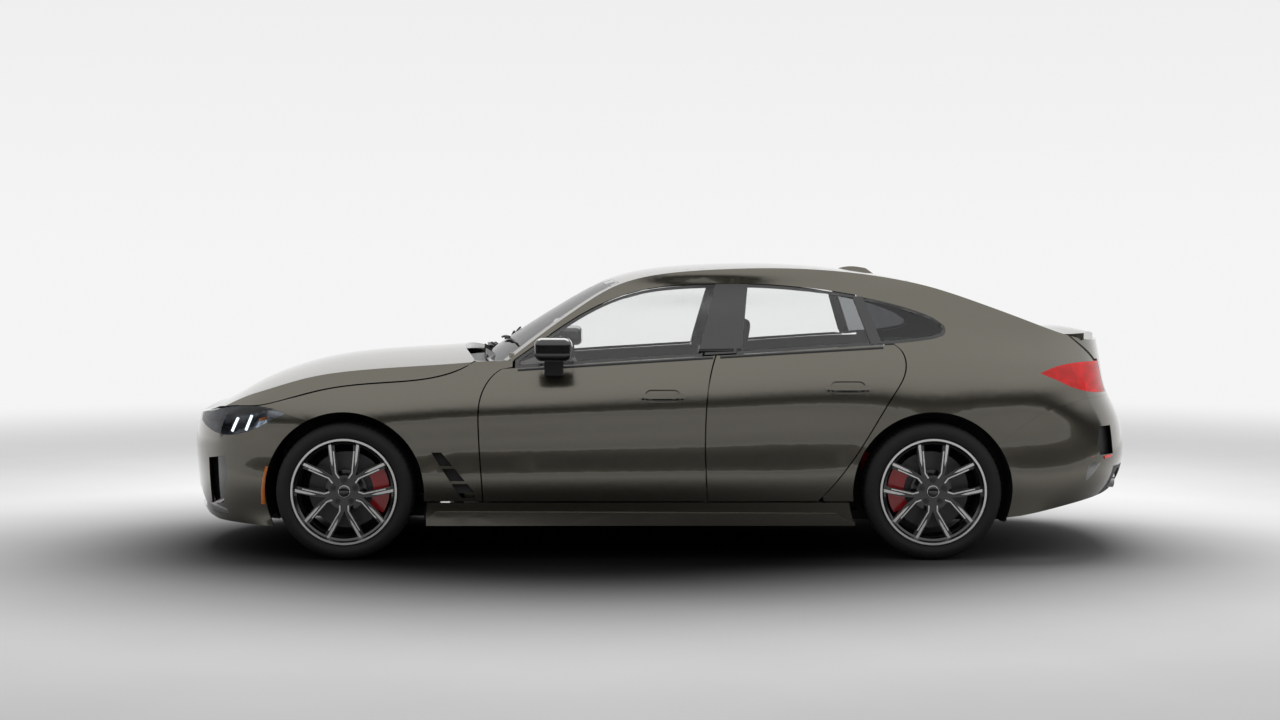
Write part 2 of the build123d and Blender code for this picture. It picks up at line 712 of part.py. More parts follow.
def cross_arms(axis, side, reach, drop, arm, pin):
    """The arms and pins of the same hinges, reaching into the body by reach along X and drop along Z."""
    with BuildPart() as arms:
        for start in (side - LUG_WIDTH / 2 - ARM_GAP - arm, side + LUG_WIDTH / 2 + ARM_GAP):
            with BuildSketch(Plane.XZ.offset(start)):
                with Locations(axis):
                    Circle(arm)
                with BuildLine():
                    Polyline(
                        (axis[0] - arm, axis[1]), (axis[0] + reach - arm, axis[1] - drop),
                        (axis[0] + reach + arm, axis[1] - drop - arm / 2),
                        (axis[0] + arm, axis[1] - arm / 2), close=True,
                    )
                make_face()
            extrude(amount=arm)
        with Locations(Location((axis[0], -side, axis[1]), (90, 0, 0))):
            Cylinder(pin, LUG_WIDTH + 2 * ARM_GAP + 2 * arm)
        mirror(about=Plane.XZ)
    return arms.part


# Bonnet
with BuildPart() as bonnet:
    add(front_block.part)
    add(front_hollow.part, mode=Mode.SUBTRACT)
    above = side_prism(moved(BONNET_LINE, 0, HALF_GAP), [(-840, 1300)], [(-2450, 1300)])
    add(above, mode=Mode.INTERSECT)
    add(plan_prism(BONNET_REAR, [(-2450, 0)], [(-2450, -FAR)], [(-880, -FAR)]), mode=Mode.INTERSECT)
    mirror(about=Plane.XZ)
    add(cross_lug(BONNET_AXIS, BONNET_HINGE_Y, -BONNET_LUG, BONNET_RISE, HINGE_ARM, HINGE_PIN))

# Front wings
with BuildPart() as wing_left:
    add(side_outer)
    add(side_skin, mode=Mode.SUBTRACT)
    shape = side_prism(
        moved(BONNET_LINE[4:-1], 0, -HALF_GAP), [(WING_TIP_X, WING_TOP)],
        [(WING_TIP_X, belt(WING_TIP_X) + SHUT_GAP)], moved(FRONT_SHUT, -HALF_GAP), [(-1500, DOOR_BOTTOM)],
        moved(WING_SPLIT, 0, SEAT_GAP), [(-1965, 722)],
    )
    add(shape, mode=Mode.INTERSECT)
    add(head_lamp_prism, mode=Mode.SUBTRACT)
    add(arches.part, mode=Mode.SUBTRACT)
    with BuildPart(mode=Mode.PRIVATE) as vent:
        add(side_prism(*WING_VENT))
        for level in VENT_BARS:
            add(limits_box(-LENGTH, 0, -FAR, FAR, level, level + VENT_BAR), mode=Mode.SUBTRACT)
    add(vent.part, mode=Mode.SUBTRACT)

# Front bumper with its openings, and the lamps and grille that fill them
with BuildPart() as front_bumper:
    add(front_block.part)
    add(front_hollow.part, mode=Mode.SUBTRACT)
    shape = side_prism(
        moved(BONNET_LINE[:5], 0, -HALF_GAP), moved(WING_SPLIT[::-1], 0, -SEAT_GAP), *FRONT_BUMPER_FOOT
    )
    add(shape, mode=Mode.INTERSECT)
    add(head_lamp_prism, mode=Mode.SUBTRACT)
    with BuildPart(mode=Mode.PRIVATE) as corner:
        add(side_prism(*CORNER_INTAKE))
        add(limits_box(-LENGTH, 0, -CORNER_Y, FAR, 0, HEIGHT), mode=Mode.SUBTRACT)
    add(corner.part, mode=Mode.SUBTRACT)
    mirror(about=Plane.XZ)
    add(arches.part, mode=Mode.SUBTRACT)
    add(grille_prism, mode=Mode.SUBTRACT)
    add(intake_prism, mode=Mode.SUBTRACT)

with BuildPart() as headlamps:
    add(front_block.part)
    add(front_lamp_hollow.part, mode=Mode.SUBTRACT)
    add(head_lamp_prism, mode=Mode.INTERSECT)
    Box(2 * LENGTH, 2 * HEADLAMP_INNER_Y, 2 * HEIGHT, mode=Mode.SUBTRACT)
    mirror(about=Plane.XZ)

with BuildPart() as grille:
    add(front_prism(GRILLE, GRILLE_BACK, -SEAT_GAP))
    add(front_prism(INTAKE, INTAKE_BACK, -SEAT_GAP))
    add(front_block.part, mode=Mode.INTERSECT)
    add(front_prism(GRILLE, GRILLE_BACK - GRILLE_FRAME, -GRILLE_FRAME, GRILLE_SLATS), mode=Mode.SUBTRACT)
    add(front_prism(INTAKE, INTAKE_BACK - GRILLE_FRAME, -GRILLE_FRAME), mode=Mode.SUBTRACT)
    with BuildPart(mode=Mode.PRIVATE) as plugs:
        add(side_prism(*CORNER_PLUG))
        add(limits_box(-LENGTH, 0, -CORNER_Y, FAR, 0, HEIGHT), mode=Mode.SUBTRACT)
        add(side_liner, mode=Mode.INTERSECT)
        add(side_lamp, mode=Mode.SUBTRACT)
        mirror(about=Plane.XZ)
    add(plugs.part)

# Side doors. Each turns on an upright pin behind its front edge, which is a thin flange over the hinge.
HINGE_Y = {
    key: HINGE_INSET - min(half_width(place, level) for level in levels)
    for key, (place, levels) in HINGES.items()
}
FRONT_DOOR = [
    moved(FRONT_SHUT[::-1], HALF_GAP), belt_run(-755, 262), moved(CENTRE_SHUT, -HALF_GAP),
]
REAR_DOOR = [
    moved(CENTRE_SHUT[::-1], HALF_GAP), belt_run(290, 1130), moved(REAR_SHUT, -HALF_GAP),
    [(770, DOOR_BOTTOM + 2)],
]


def hinge_lugs(key):
    """The door's half of its hinges: a bored lug at each level."""
    place, levels = HINGES[key]
    with BuildPart() as lugs:
        for level in levels:
            with BuildSketch(Plane.XY.offset(level - HINGE_LUG / 2)):
                with Locations((place, HINGE_Y[key])):
                    Circle(HINGE_ARM)
                with Locations((place + HINGE_LEAD / 2, HINGE_Y[key])):
                    Rectangle(HINGE_LEAD, 2 * HINGE_ARM)
                with Locations((place, HINGE_Y[key])):
                    Circle(HINGE_PIN + PIN_FIT, mode=Mode.SUBTRACT)
            extrude(amount=HINGE_LUG)
    return lugs.part


def hinge_arms(key):
    """The body's half of the same hinges: two arms from the pillar that carry the pin."""
    place, levels = HINGES[key]
    reach = PILLAR_INSET + PILLAR_DEPTH / 2 - HINGE_INSET
    with BuildPart() as arms:
        for level in levels:
            for side in (-1, 1):
                with Locations((0, 0, level + side * (HINGE_LUG / 2 + HINGE_ARM / 2 + ARM_GAP))):
                    with Locations((place, HINGE_Y[key], 0)):
                        Cylinder(HINGE_ARM, HINGE_ARM)
                    with Locations((place, HINGE_Y[key] + reach / 2, 0)):
                        Box(2 * HINGE_ARM, reach, HINGE_ARM)
            with Locations((place, HINGE_Y[key], level)):
                Cylinder(HINGE_PIN, HINGE_LUG + 2 * HINGE_ARM)
    return arms.part


def door(key, shape):
    """A door below the belt, with its rear edge stepped back inside so that it swings clear."""
    place = HINGES[key][0]
    with BuildPart() as panel:
        add(side_prism(*shape))
        add(side_outer, mode=Mode.INTERSECT)
        add(side_door, mode=Mode.SUBTRACT)
        with BuildPart(mode=Mode.PRIVATE) as recess:
            with Locations((place + HINGE_CLEAR - HINGE_LEAD, -FAR / 2, FAR / 2)):
                Box(2 * HINGE_LEAD, FAR, FAR)
            add(side_flange, mode=Mode.INTERSECT)
        add(recess.part, mode=Mode.SUBTRACT)
        with BuildPart(mode=Mode.PRIVATE) as relief:
            add(side_prism(*shape))
            add(side_prism(*[moved(run, -DOOR_RELIEF) for run in shape]), mode=Mode.SUBTRACT)
            add(side_edge, mode=Mode.INTERSECT)
        add(relief.part, mode=Mode.SUBTRACT)
        with BuildPart(mode=Mode.PRIVATE) as cup:
            add(side_slot(HANDLES[key], *CUP_SIZE))
            add(side_cup, mode=Mode.SUBTRACT)
        add(cup.part, mode=Mode.SUBTRACT)
        with BuildPart(mode=Mode.PRIVATE) as handle:
            add(side_slot(HANDLES[key], *HANDLE_SIZE))
            add(side_handle, mode=Mode.INTERSECT)
            add(side_flange, mode=Mode.SUBTRACT)
        add(handle.part)
        add(hinge_lugs(key))
    return panel.part


with BuildPart() as door_front_left:
    add(door("front", FRONT_DOOR))
with BuildPart() as door_rear_left:
    add(door("rear", REAR_DOOR))
with BuildPart() as door_front_right:
    mirror(door_front_left.part, about=Plane.XZ)
with BuildPart() as door_rear_right:
    mirror(door_rear_left.part, about=Plane.XZ)


def pane(*runs):
    """A side window between the glass surfaces."""
    with BuildPart() as glass:
        add(side_glass)
        add(side_glass_inner, mode=Mode.SUBTRACT)
        add(side_prism(*runs), mode=Mode.INTERSECT)
    return glass.part


FRONT_GLASS = [FRONT_GLASS_TOP, belt_run(FRONT_GLASS_REAR, FRONT_GLASS_TOP[0][0], SEAT_GAP)]
REAR_GLASS = [REAR_GLASS_TOP, belt_run(REAR_GLASS_FOOT[1], REAR_GLASS_FOOT[0], SEAT_GAP)]
QUARTER_OPENING = [QUARTER_TOP, QUARTER_TIP, QUARTER_FOOT]
MID_X, MID_Z = QUARTER_MID
QUARTER_GLASS = [
    [(MID_X + (x - MID_X) * QUARTER_FIT, MID_Z + (z - MID_Z) * QUARTER_FIT) for x, z in run]
    for run in QUARTER_OPENING
]
FRONT_OPENING = [
    moved(FRONT_GLASS_TOP[:-1], -3, GLASS_GAP), moved(FRONT_GLASS_TOP[-1:], GLASS_GAP, GLASS_GAP),
    [(211, 960)], [(-765, 900)],
]
REAR_OPENING = [
    moved(REAR_GLASS_TOP[:1], -GLASS_GAP, GLASS_GAP), moved(REAR_GLASS_TOP[1:-1], 0, GLASS_GAP),
    moved(REAR_GLASS_TOP[-1:], GLASS_GAP, GLASS_GAP), [(1054, 1020)], [(370, 960)],
]
with BuildPart() as glass_front_left:
    add(pane(*FRONT_GLASS))
with BuildPart() as glass_rear_left:
    add(pane(*REAR_GLASS))
with BuildPart() as glass_front_right:
    mirror(glass_front_left.part, about=Plane.XZ)
with BuildPart() as glass_rear_right:
    mirror(glass_rear_left.part, about=Plane.XZ)
with BuildPart() as quarter_glass:
    add(pane(*QUARTER_GLASS))
    mirror(about=Plane.XZ)


# Roof, windscreen, cowl and tailgate
screen_plan = plan_prism(bowed(SCREEN_FOOT_X, SCREEN_REACH), bowed(SCREEN_HEAD_X, SCREEN_REACH)[::-1])
window_plan = plan_prism(*REAR_WINDOW)
tailgate_cut = plan_prism(
    [(ROOF_END - TAILGATE_GAP, 0)], [(ROOF_END - TAILGATE_GAP, TAILGATE_SIDE[0][1] - SHUT_GAP)],
    moved(TAILGATE_SIDE, SWING_GAP, -SHUT_GAP), moved(TAILGATE_TAIL, 0, -SHUT_GAP), [(2450, 0)],
)

with BuildPart() as windscreen:
    add(screen_plan)
    add(cabin_glass, mode=Mode.INTERSECT)
    add(cabin_glass_inner, mode=Mode.SUBTRACT)
    add(side_screen, mode=Mode.INTERSECT)

with BuildPart() as roof:
    add(plan_prism(bowed(SCREEN_HEAD_X + SEAT_GAP, ROOF_HALF), [(ROOF_END - TAILGATE_GAP, -ROOF_HALF)],
                   [(ROOF_END - TAILGATE_GAP, 0)]))
    add(cabin_outer, mode=Mode.INTERSECT)
    add(cabin_inner, mode=Mode.SUBTRACT)
    add(cross_arms(GATE_AXIS, GATE_HINGE_Y, -TAILGATE_GAP, GATE_DROP, GATE_ARM, GATE_PIN))
    with BuildPart(mode=Mode.PRIVATE) as fin:
        with BuildSketch(Plane.XY.offset(FIN_BASE)):
            with Locations((FIN_X, 0)):
                Ellipse(*FIN_SIZE)
        extrude(amount=HEIGHT - FIN_BASE, taper=FIN_TAPER)
        add(across(FIN_SIDE, -FAR, FAR), mode=Mode.INTERSECT)
    add(fin.part)

with BuildPart() as cowl:
    add(limits_box(COWL_FRONT, COWL_REAR, -FAR, FAR, COWL_FOOT, HEIGHT))
    add(side_screen, mode=Mode.INTERSECT)
    add(cowl_top, mode=Mode.INTERSECT)
    add(plan_prism(bowed(SCREEN_FOOT_X - SEAT_GAP, SCREEN_REACH), [(-2000, -SCREEN_REACH)], [(-2000, 0)]),
        mode=Mode.INTERSECT)
    add(cross_arms(BONNET_AXIS, BONNET_HINGE_Y, 0, COWL_HINGE_DROP, HINGE_ARM, HINGE_PIN))

with BuildPart() as tailgate:
    add(plan_prism(TAILGATE_SIDE, TAILGATE_TAIL, [(2450, 0)], [(ROOF_END, 0)]))
    add(cabin_block.part, mode=Mode.INTERSECT)
    add(tailgate_hollow, mode=Mode.SUBTRACT)
    add(limits_box(0, LENGTH, -FAR, FAR, TAILGATE_FOOT_Z, 2 * HEIGHT), mode=Mode.INTERSECT)
    for side in (-1, 1):
        with Locations((LENGTH / 2, side * (TAIL_LAMP_INNER_Y - SHUT_GAP + FAR / 2), 0)):
            Box(LENGTH, FAR, 2 * TAILGATE_SIDE_Z, mode=Mode.SUBTRACT)
    add(window_plan, mode=Mode.SUBTRACT)
    add(cross_lug(GATE_AXIS, GATE_HINGE_Y, GATE_LUG, -GATE_LUG / 2, GATE_ARM, GATE_PIN))

with BuildPart() as rear_window:
    add(plan_prism(*[[(x, min(y + SEAT_GAP, 0)) for x, y in moved(run, SEAT_GAP * side)]
                     for side, run in zip((1, 0, -1), REAR_WINDOW)]))
    add(cabin_glass, mode=Mode.INTERSECT)
    add(cabin_glass_inner, mode=Mode.SUBTRACT)

# Tail lamps and rear bumper


def rear_corners(shape):
    """Prisms with an outline in side view through both rear corners."""
    with BuildPart() as prisms:
        add(side_prism(*shape))
        add(limits_box(0, LENGTH, -LUGGAGE_HALF - SEAT_GAP, FAR, 0, HEIGHT), mode=Mode.SUBTRACT)
        mirror(about=Plane.XZ)
    return prisms.part


def tail_pipes(radius, start=PIPE_START, end=PIPE_END):
    """Cylinders along the two tail pipes."""
    with BuildPart() as pipes:
        for side in (-1, 1):
            with Locations(Location(((start + end) / 2, side * PIPE_Y, PIPE_Z), (0, 90, 0))):
                Cylinder(radius, end - start)
    return pipes.part


with BuildPart() as tail_lamps:
    add(tail_lamp_prism)
    add(cabin_block.part, mode=Mode.INTERSECT)
    add(side_lamp, mode=Mode.SUBTRACT)
    inner = TAIL_LAMP_INNER_Y + SEAT_GAP
    add(limits_box(-LENGTH, LENGTH, -inner, inner, 0, HEIGHT), mode=Mode.SUBTRACT)
    mirror(about=Plane.XZ)

with BuildPart() as rear_bumper:
    add(side_prism(moved(REAR_BUMPER_LINE, 0, -SEAT_GAP), *BUMPER_EDGE))
    add(side_outer, mode=Mode.INTERSECT)
    add(side_skin, mode=Mode.SUBTRACT)
    add(arches.part, mode=Mode.SUBTRACT)
    mirror(about=Plane.XZ)
    add(rear_corners(REAR_CORNER), mode=Mode.SUBTRACT)
    add(limits_box(PIPE_START, LENGTH, -DIFFUSER_HALF, DIFFUSER_HALF, 0, DIFFUSER_TOP), mode=Mode.SUBTRACT)

with BuildPart() as rear_diffuser:
    inset = DIFFUSER_HALF - SEAT_GAP
    add(side_prism(*REAR_BUMPER_FOOT))
    add(limits_box(PIPE_START, LENGTH, -inset, inset, 0, DIFFUSER_TOP - SEAT_GAP), mode=Mode.INTERSECT)
    add(side_outer, mode=Mode.INTERSECT)
    add(side_skin, mode=Mode.SUBTRACT)
    mirror(about=Plane.XZ)
    add(tail_pipes(PIPE_RADIUS + PIPE_GAP, PIPE_START, LENGTH), mode=Mode.SUBTRACT)
    with BuildPart(mode=Mode.PRIVATE) as plugs:
        add(rear_corners(REAR_PLUG))
        add(side_liner, mode=Mode.INTERSECT)
        add(side_lamp, mode=Mode.SUBTRACT)
    add(plugs.part)

# Body sides: the upper frame with the rear quarter, the inner ring with the hinge posts, and the sill
with BuildPart() as body_side_left:
    add(side_prism(
        [(-905, WING_TOP + SEAT_GAP)], [(WING_TIP_X + SEAT_GAP, WING_TOP + SEAT_GAP)],
        belt_run(WING_TIP_X + SEAT_GAP, 1143, SHUT_GAP), moved(REAR_SHUT, HALF_GAP), [(800, DOOR_BOTTOM)],
        [(1640, DOOR_BOTTOM)], moved(REAR_BUMPER_LINE[::-1], 0, SEAT_GAP), [(2450, 1500)], [(-905, 1500)],
    ))
    add(cabin_block.part, mode=Mode.INTERSECT)
    add(cabin_hollow.part, mode=Mode.SUBTRACT)
    add(limits_box(-LENGTH, ROOF_END, -ROOF_HALF - SEAT_GAP, FAR, BELT_MID, 2 * HEIGHT), mode=Mode.SUBTRACT)
    with BuildPart(mode=Mode.PRIVATE) as screen_cut:
        add(limits_box(-LENGTH, 0, -FAR, FAR, BELT_MID - 100, 2 * HEIGHT))
        add(side_rail, mode=Mode.INTERSECT)
        add(plan_prism([(-LENGTH, 0)], bowed(SCREEN_HEAD_X, SCREEN_REACH), [(-LENGTH, -SCREEN_REACH)]),
            mode=Mode.INTERSECT)
    add(screen_cut.part, mode=Mode.SUBTRACT)
    with BuildPart(mode=Mode.PRIVATE) as rear_cut:
        add(tailgate_cut)
        add(limits_box(0, LENGTH, -FAR, FAR, TAILGATE_FOOT_Z - SHUT_GAP, 2 * HEIGHT), mode=Mode.INTERSECT)
    add(rear_cut.part, mode=Mode.SUBTRACT)
    with BuildPart(mode=Mode.PRIVATE) as lamp_cut:
        add(tail_lamp_prism)
        add(limits_box(0, LENGTH, -TAIL_LAMP_INNER_Y, FAR, 0, HEIGHT), mode=Mode.SUBTRACT)
    add(lamp_cut.part, mode=Mode.SUBTRACT)
    for shape in (FRONT_OPENING, REAR_OPENING, QUARTER_OPENING):
        add(side_prism(*shape), mode=Mode.SUBTRACT)
    # The inner ring
    with BuildPart(mode=Mode.PRIVATE) as ring:
        add(side_prism(*RING))
        add(side_prism(*FRONT_APERTURE), mode=Mode.SUBTRACT)
        add(side_prism(*REAR_APERTURE), mode=Mode.SUBTRACT)
        add(side_pillar, mode=Mode.INTERSECT)
        add(side_cabin, mode=Mode.SUBTRACT)
        add(cabin_inner, mode=Mode.INTERSECT)
        add(well_clear.part, mode=Mode.SUBTRACT)
    add(ring.part)
    with BuildPart(mode=Mode.PRIVATE) as bridges:
        for x0, x1, z0, z1 in BRIDGES:
            add(limits_box(x0, x1, -FAR, 0, z0, z1))
        add(side_skin, mode=Mode.INTERSECT)
        add(side_cabin, mode=Mode.SUBTRACT)
    add(bridges.part)
    with BuildPart(mode=Mode.PRIVATE) as sill:
        add(limits_box(SILL_FRONT, SILL_REAR, -FAR, 0, FLOOR_Z, DOOR_BOTTOM - SHUT_GAP))
        add(side_outer, mode=Mode.INTERSECT)
        add(side_cabin, mode=Mode.SUBTRACT)
        add(well_clear.part, mode=Mode.SUBTRACT)
        with BuildPart(mode=Mode.PRIVATE) as skirt:
            add(side_prism(*SKIRT))
            add(side_skirt, mode=Mode.INTERSECT)
            add(side_skin, mode=Mode.SUBTRACT)
        add(skirt.part)
    add(sill.part)
    add(arches.part, mode=Mode.SUBTRACT)
    add(cowl.part, mode=Mode.SUBTRACT)
    add(windscreen.part, mode=Mode.SUBTRACT)
    for key in HINGES:
        add(hinge_arms(key))
with BuildPart() as body_side_right:
    mirror(body_side_left.part, about=Plane.XZ)

# Spoiler on the tailgate
spoiler_z = curve((1880, 1130), (1955, 1110), (2058, 1114), (2175, 1100), (2255, 1064), (2330, 1020))
with BuildPart() as spoiler:
    add(plan_prism(*SPOILER_PLAN))
    add(top_block(spoiler_z, 1880, 2330, ROOF_CROWN, SCREEN_BOW, 0), mode=Mode.INTERSECT)
    add(cabin_outer, mode=Mode.SUBTRACT)

# Underbody: floor, bulkheads, luggage floor and wheel liners
with BuildPart() as underbody:
    add(limits_box(FLOOR_FRONT, FLOOR_REAR, -FAR, FAR, FLOOR_Z, FLOOR_TOP))
    add(limits_box(*FIREWALL, -FAR, FAR, FLOOR_Z, COWL_FOOT - SEAT_GAP))
    add(side_floor, mode=Mode.INTERSECT)
    add(limits_box(*BULKHEAD, -LUGGAGE_HALF, LUGGAGE_HALF, FLOOR_Z, LUGGAGE_FLOOR_Z))
    add(limits_box(BULKHEAD[0], TAIL_PANEL[1], -LUGGAGE_HALF, LUGGAGE_HALF, LUGGAGE_FLOOR_Z - LUGGAGE_SHEET,
                   LUGGAGE_FLOOR_Z))
    add(limits_box(*TAIL_PANEL, -LUGGAGE_HALF, LUGGAGE_HALF, *TAIL_PANEL_Z))
    add(side_liner, mode=Mode.INTERSECT)
    add(wells.part, mode=Mode.SUBTRACT)
    with BuildPart(mode=Mode.PRIVATE) as liners:
        add(well_drums(LINER_RADIUS + LINER_SKIN, LINER_SKIN))
        add(wells.part, mode=Mode.SUBTRACT)
        for axle, inner in WELLS:
            low_wall = limits_box(
                axle - FAR / 2, axle + FAR / 2, -inner - LINER_TRIM, inner + LINER_TRIM, 0, LINER_WALL_Z
            )
            add(low_wall, mode=Mode.SUBTRACT)
        add(limits_box(-LENGTH, LENGTH, -FAR, FAR, 0, FLOOR_TOP - LINER_LAP), mode=Mode.SUBTRACT)
        with BuildPart(mode=Mode.PRIVATE) as reach:
            add(limits_box(-LENGTH, 0, -FAR, FAR, 0, HEIGHT))
            add(side_liner, mode=Mode.INTERSECT)
        with BuildPart(mode=Mode.PRIVATE) as rear_reach:
            add(limits_box(0, LENGTH, -FAR, FAR, 0, HEIGHT))
            add(side_screen, mode=Mode.INTERSECT)
        add(reach.part + rear_reach.part, mode=Mode.INTERSECT)
    add(liners.part)

# Engine, on the front crossmember
with BuildPart() as engine:
    add(limits_box(*ENGINE_X, -ENGINE_HALF, ENGINE_HALF, CROSSMEMBER_TOP + SEAT_GAP, ENGINE_TOP))
    fillet(engine.edges().filter_by(Axis.X), ENGINE_ROUND)
    add(limits_box(*COVER_X, -COVER_HALF, COVER_HALF, ENGINE_TOP, COVER_TOP))

# Wheels, drawn about Z with the outer face up, then turned to face left


def wheel_at(x, y, shape):
    """A wheel part moved to the left side of an axle."""
    with BuildPart() as placed:
        with Locations(Location((x, -y, TYRE_RADIUS), (90, 0, 0))):
            add(shape)
    return placed.part


with BuildPart() as tyre:
    with BuildSketch(Plane.XZ):
        with BuildLine():
            seat = RIM_SEAT_RADIUS + SEAT_GAP
            outer = (TYRE_BEAD, TYRE_BULGE, TYRE_SHOULDER, (TYRE_RADIUS, TREAD_HALF))
            inner = [(radius, -z) for radius, z in reversed(outer)]
            Polyline((seat, -BEAD_HALF), (seat, BEAD_HALF), TYRE_BEAD)
            Spline(*outer, tangents=((2, 1), (0, -1)))
            Line(outer[-1], inner[0])
            Spline(*inner, tangents=((0, -1), (-2, 1)))
            Line(inner[-1], (seat, -BEAD_HALF))
        make_face()
    revolve(axis=Axis.Z)

with BuildPart() as wheel:
    with BuildSketch(Plane.XZ):
        with BuildLine():
            Polyline(*RIM_OUTER, *RIM_INNER, close=True)
        make_face()
    revolve(axis=Axis.Z)
    with BuildSketch(Plane.XY.offset(HUB_FACE)):
        Circle(HUB_RADIUS)
    extrude(amount=HUB_TOP - HUB_FACE)
    for shape, low, high in (
        (SPOKE_BODY, SPOKE_LOW, SPOKE_FACE),
        (OUTER_RIDGE, SPOKE_FACE, RIDGE_FACE),
        (INNER_RIDGE, SPOKE_FACE, RIDGE_FACE),
    ):
        with BuildSketch(Plane.XY.offset(low)):
            with PolarLocations(0, SPOKE_PAIRS):
                for side in (-1, 1):
                    Polygon(*[(side * x, y) for x, y in shape], align=None)
            Circle(SPOKE_REACH, mode=Mode.INTERSECT)
        extrude(amount=high - low)
    with BuildSketch(Plane.XY.offset(DISC_LOW)):
        Circle(DISC_RADIUS)
        Circle(DISC_BORE, mode=Mode.SUBTRACT)
    extrude(amount=DISC_HIGH - DISC_LOW)
    with BuildSketch(Plane.XY.offset(DISC_HIGH)):
        Circle(BELL_RADIUS)
        Circle(DISC_BORE, mode=Mode.SUBTRACT)
    extrude(amount=HUB_FACE - DISC_HIGH - BELL_WALL)
    with BuildSketch(Plane.XY.offset(HUB_FACE - BELL_WALL)):
        Circle(BELL_RADIUS)
    extrude(amount=BELL_WALL)
    with Locations((0, 0, HUB_FACE)):
        Cylinder(STUB_RADIUS + PIN_FIT, STUB_BORE, mode=Mode.SUBTRACT)

# Uprights with stub axles and brake calipers. The front ones turn on the kingpins, the rear ones are fixed.


def caliper(axle, shift, side):
    """A caliper over the disc on the front (-1) or rear (1) side of a left wheel, with its bracket."""
    with BuildPart() as body:
        with BuildSketch(Plane.XZ.offset(CALIPER_Y[0] + shift)):
            with Locations((axle, TYRE_RADIUS)):
                Circle(CALIPER_OUTER)
                Circle(CALIPER_INNER, mode=Mode.SUBTRACT)
            with BuildLine():
                edge = CALIPER_OUTER * 2 * math.tan(math.radians(CALIPER_ANGLE))
                Polyline(
                    (axle, TYRE_RADIUS), (axle + side * CALIPER_OUTER * 2, TYRE_RADIUS - edge),
                    (axle + side * CALIPER_OUTER * 2, TYRE_RADIUS + edge), close=True,
                )
            make_face(mode=Mode.INTERSECT)
        extrude(amount=CALIPER_Y[1] - CALIPER_Y[0])
        with BuildSketch(Plane.XZ.offset(CALIPER_SLOT[0] + shift)):
            with Locations((axle, TYRE_RADIUS)):
                Circle(DISC_RADIUS + CALIPER_GAP)
        extrude(amount=CALIPER_SLOT[1] - CALIPER_SLOT[0], mode=Mode.SUBTRACT)
        near, far = sorted((axle, axle + side * (CALIPER_INNER + BRACKET_LAP)))
        add(limits_box(near, far, BRACKET_GAP - CALIPER_SLOT[0] - shift, -CALIPER_Y[0] - shift,
                       TYRE_RADIUS - BRACKET_HALF, TYRE_RADIUS + BRACKET_HALF))
    return body.part


def upright(axle, wheel_y, side):
    """A left upright: block, bearing boss, stub axle and caliper."""
    shift = wheel_y - FRONT_WHEEL_Y
    with BuildPart() as block:
        add(limits_box(axle - UPRIGHT_HALF, axle + UPRIGHT_HALF, -UPRIGHT_Y[1], -UPRIGHT_Y[0],
                       LOWER_ARM[1] + ARM_CLEAR, UPPER_ARM[0] - ARM_CLEAR))
        for radius, end in ((BOSS_RADIUS, BOSS_END + shift), (STUB_RADIUS, wheel_y + STUB_END)):
            with Locations(Location((axle, -(UPRIGHT_Y[0] + end) / 2, TYRE_RADIUS), (90, 0, 0))):
                Cylinder(radius, end - UPRIGHT_Y[0])
        add(caliper(axle, shift, side))
    return block.part


KINGPIN_Y = FRONT_WHEEL_Y - KINGPIN_OFFSET
with BuildPart() as knuckle_left:
    add(upright(FRONT_AXLE_X, FRONT_WHEEL_Y, 1))
    out, into = KINGPIN_LAP
    for low, high in ((LOWER_ARM[0] - out, LOWER_ARM[1] + into), (UPPER_ARM[0] - into, UPPER_ARM[1] + out)):
        with Locations((FRONT_AXLE_X, -KINGPIN_Y, (low + high) / 2)):
            Cylinder(KINGPIN_RADIUS, high - low)
with BuildPart() as knuckle_right:
    mirror(knuckle_left.part, about=Plane.XZ)

with BuildPart() as front_suspension:
    for half, inner, top in ((CROSSMEMBER_HALF, 0, CROSSMEMBER_TOP), (TOWER_HALF, TOWER_Y[0], UPPER_ARM[1])):
        add(limits_box(FRONT_AXLE_X - half, FRONT_AXLE_X + half, -TOWER_Y[1], -inner, MEMBER_FOOT, top))
    for low, high in (LOWER_ARM, UPPER_ARM):
        with BuildSketch(Plane.XY.offset(low)):
            with Locations((FRONT_AXLE_X, -KINGPIN_Y)):
                Circle(2 * KINGPIN_RADIUS)
            with Locations((FRONT_AXLE_X, -(KINGPIN_Y + TOWER_Y[0]) / 2)):
                Rectangle(2 * ARM_HALF, KINGPIN_Y - TOWER_Y[0])
            with Locations((FRONT_AXLE_X, -KINGPIN_Y)):
                Circle(KINGPIN_RADIUS + PIN_FIT, mode=Mode.SUBTRACT)
        extrude(amount=high - low)
    mirror(about=Plane.XZ)

with BuildPart() as rear_suspension:
    for half, inner, outer in (
        (REAR_MEMBER_HALF, 0, REAR_MEMBER_END), (REAR_ARM_HALF, REAR_ARM_START, UPRIGHT_Y[1]),
    ):
        add(limits_box(REAR_AXLE_X - half, REAR_AXLE_X + half, -outer, -inner, MEMBER_FOOT, CROSSMEMBER_TOP))
    add(upright(REAR_AXLE_X, REAR_WHEEL_Y, -1))
    mirror(about=Plane.XZ)

# Cabin


with BuildPart() as front_seats:
    add(across(SEAT_SIDE, SEAT_Y - SEAT_WIDTH / 2, SEAT_Y + SEAT_WIDTH / 2))
    add(across(HEADREST_SIDE, SEAT_Y - HEADREST_WIDTH / 2, SEAT_Y + HEADREST_WIDTH / 2))
    for reach, half, levels in (
        (SEAT_BASE, SEAT_BASE_HALF, (FLOOR_TOP + SEAT_GAP, SEAT_BASE_TOP)),
        (HEADREST_POSTS, HEADREST_POSTS_HALF, HEADREST_POSTS_Z),
    ):
        add(limits_box(*reach, -SEAT_Y - half, half - SEAT_Y, *levels))
    mirror(about=Plane.XZ)

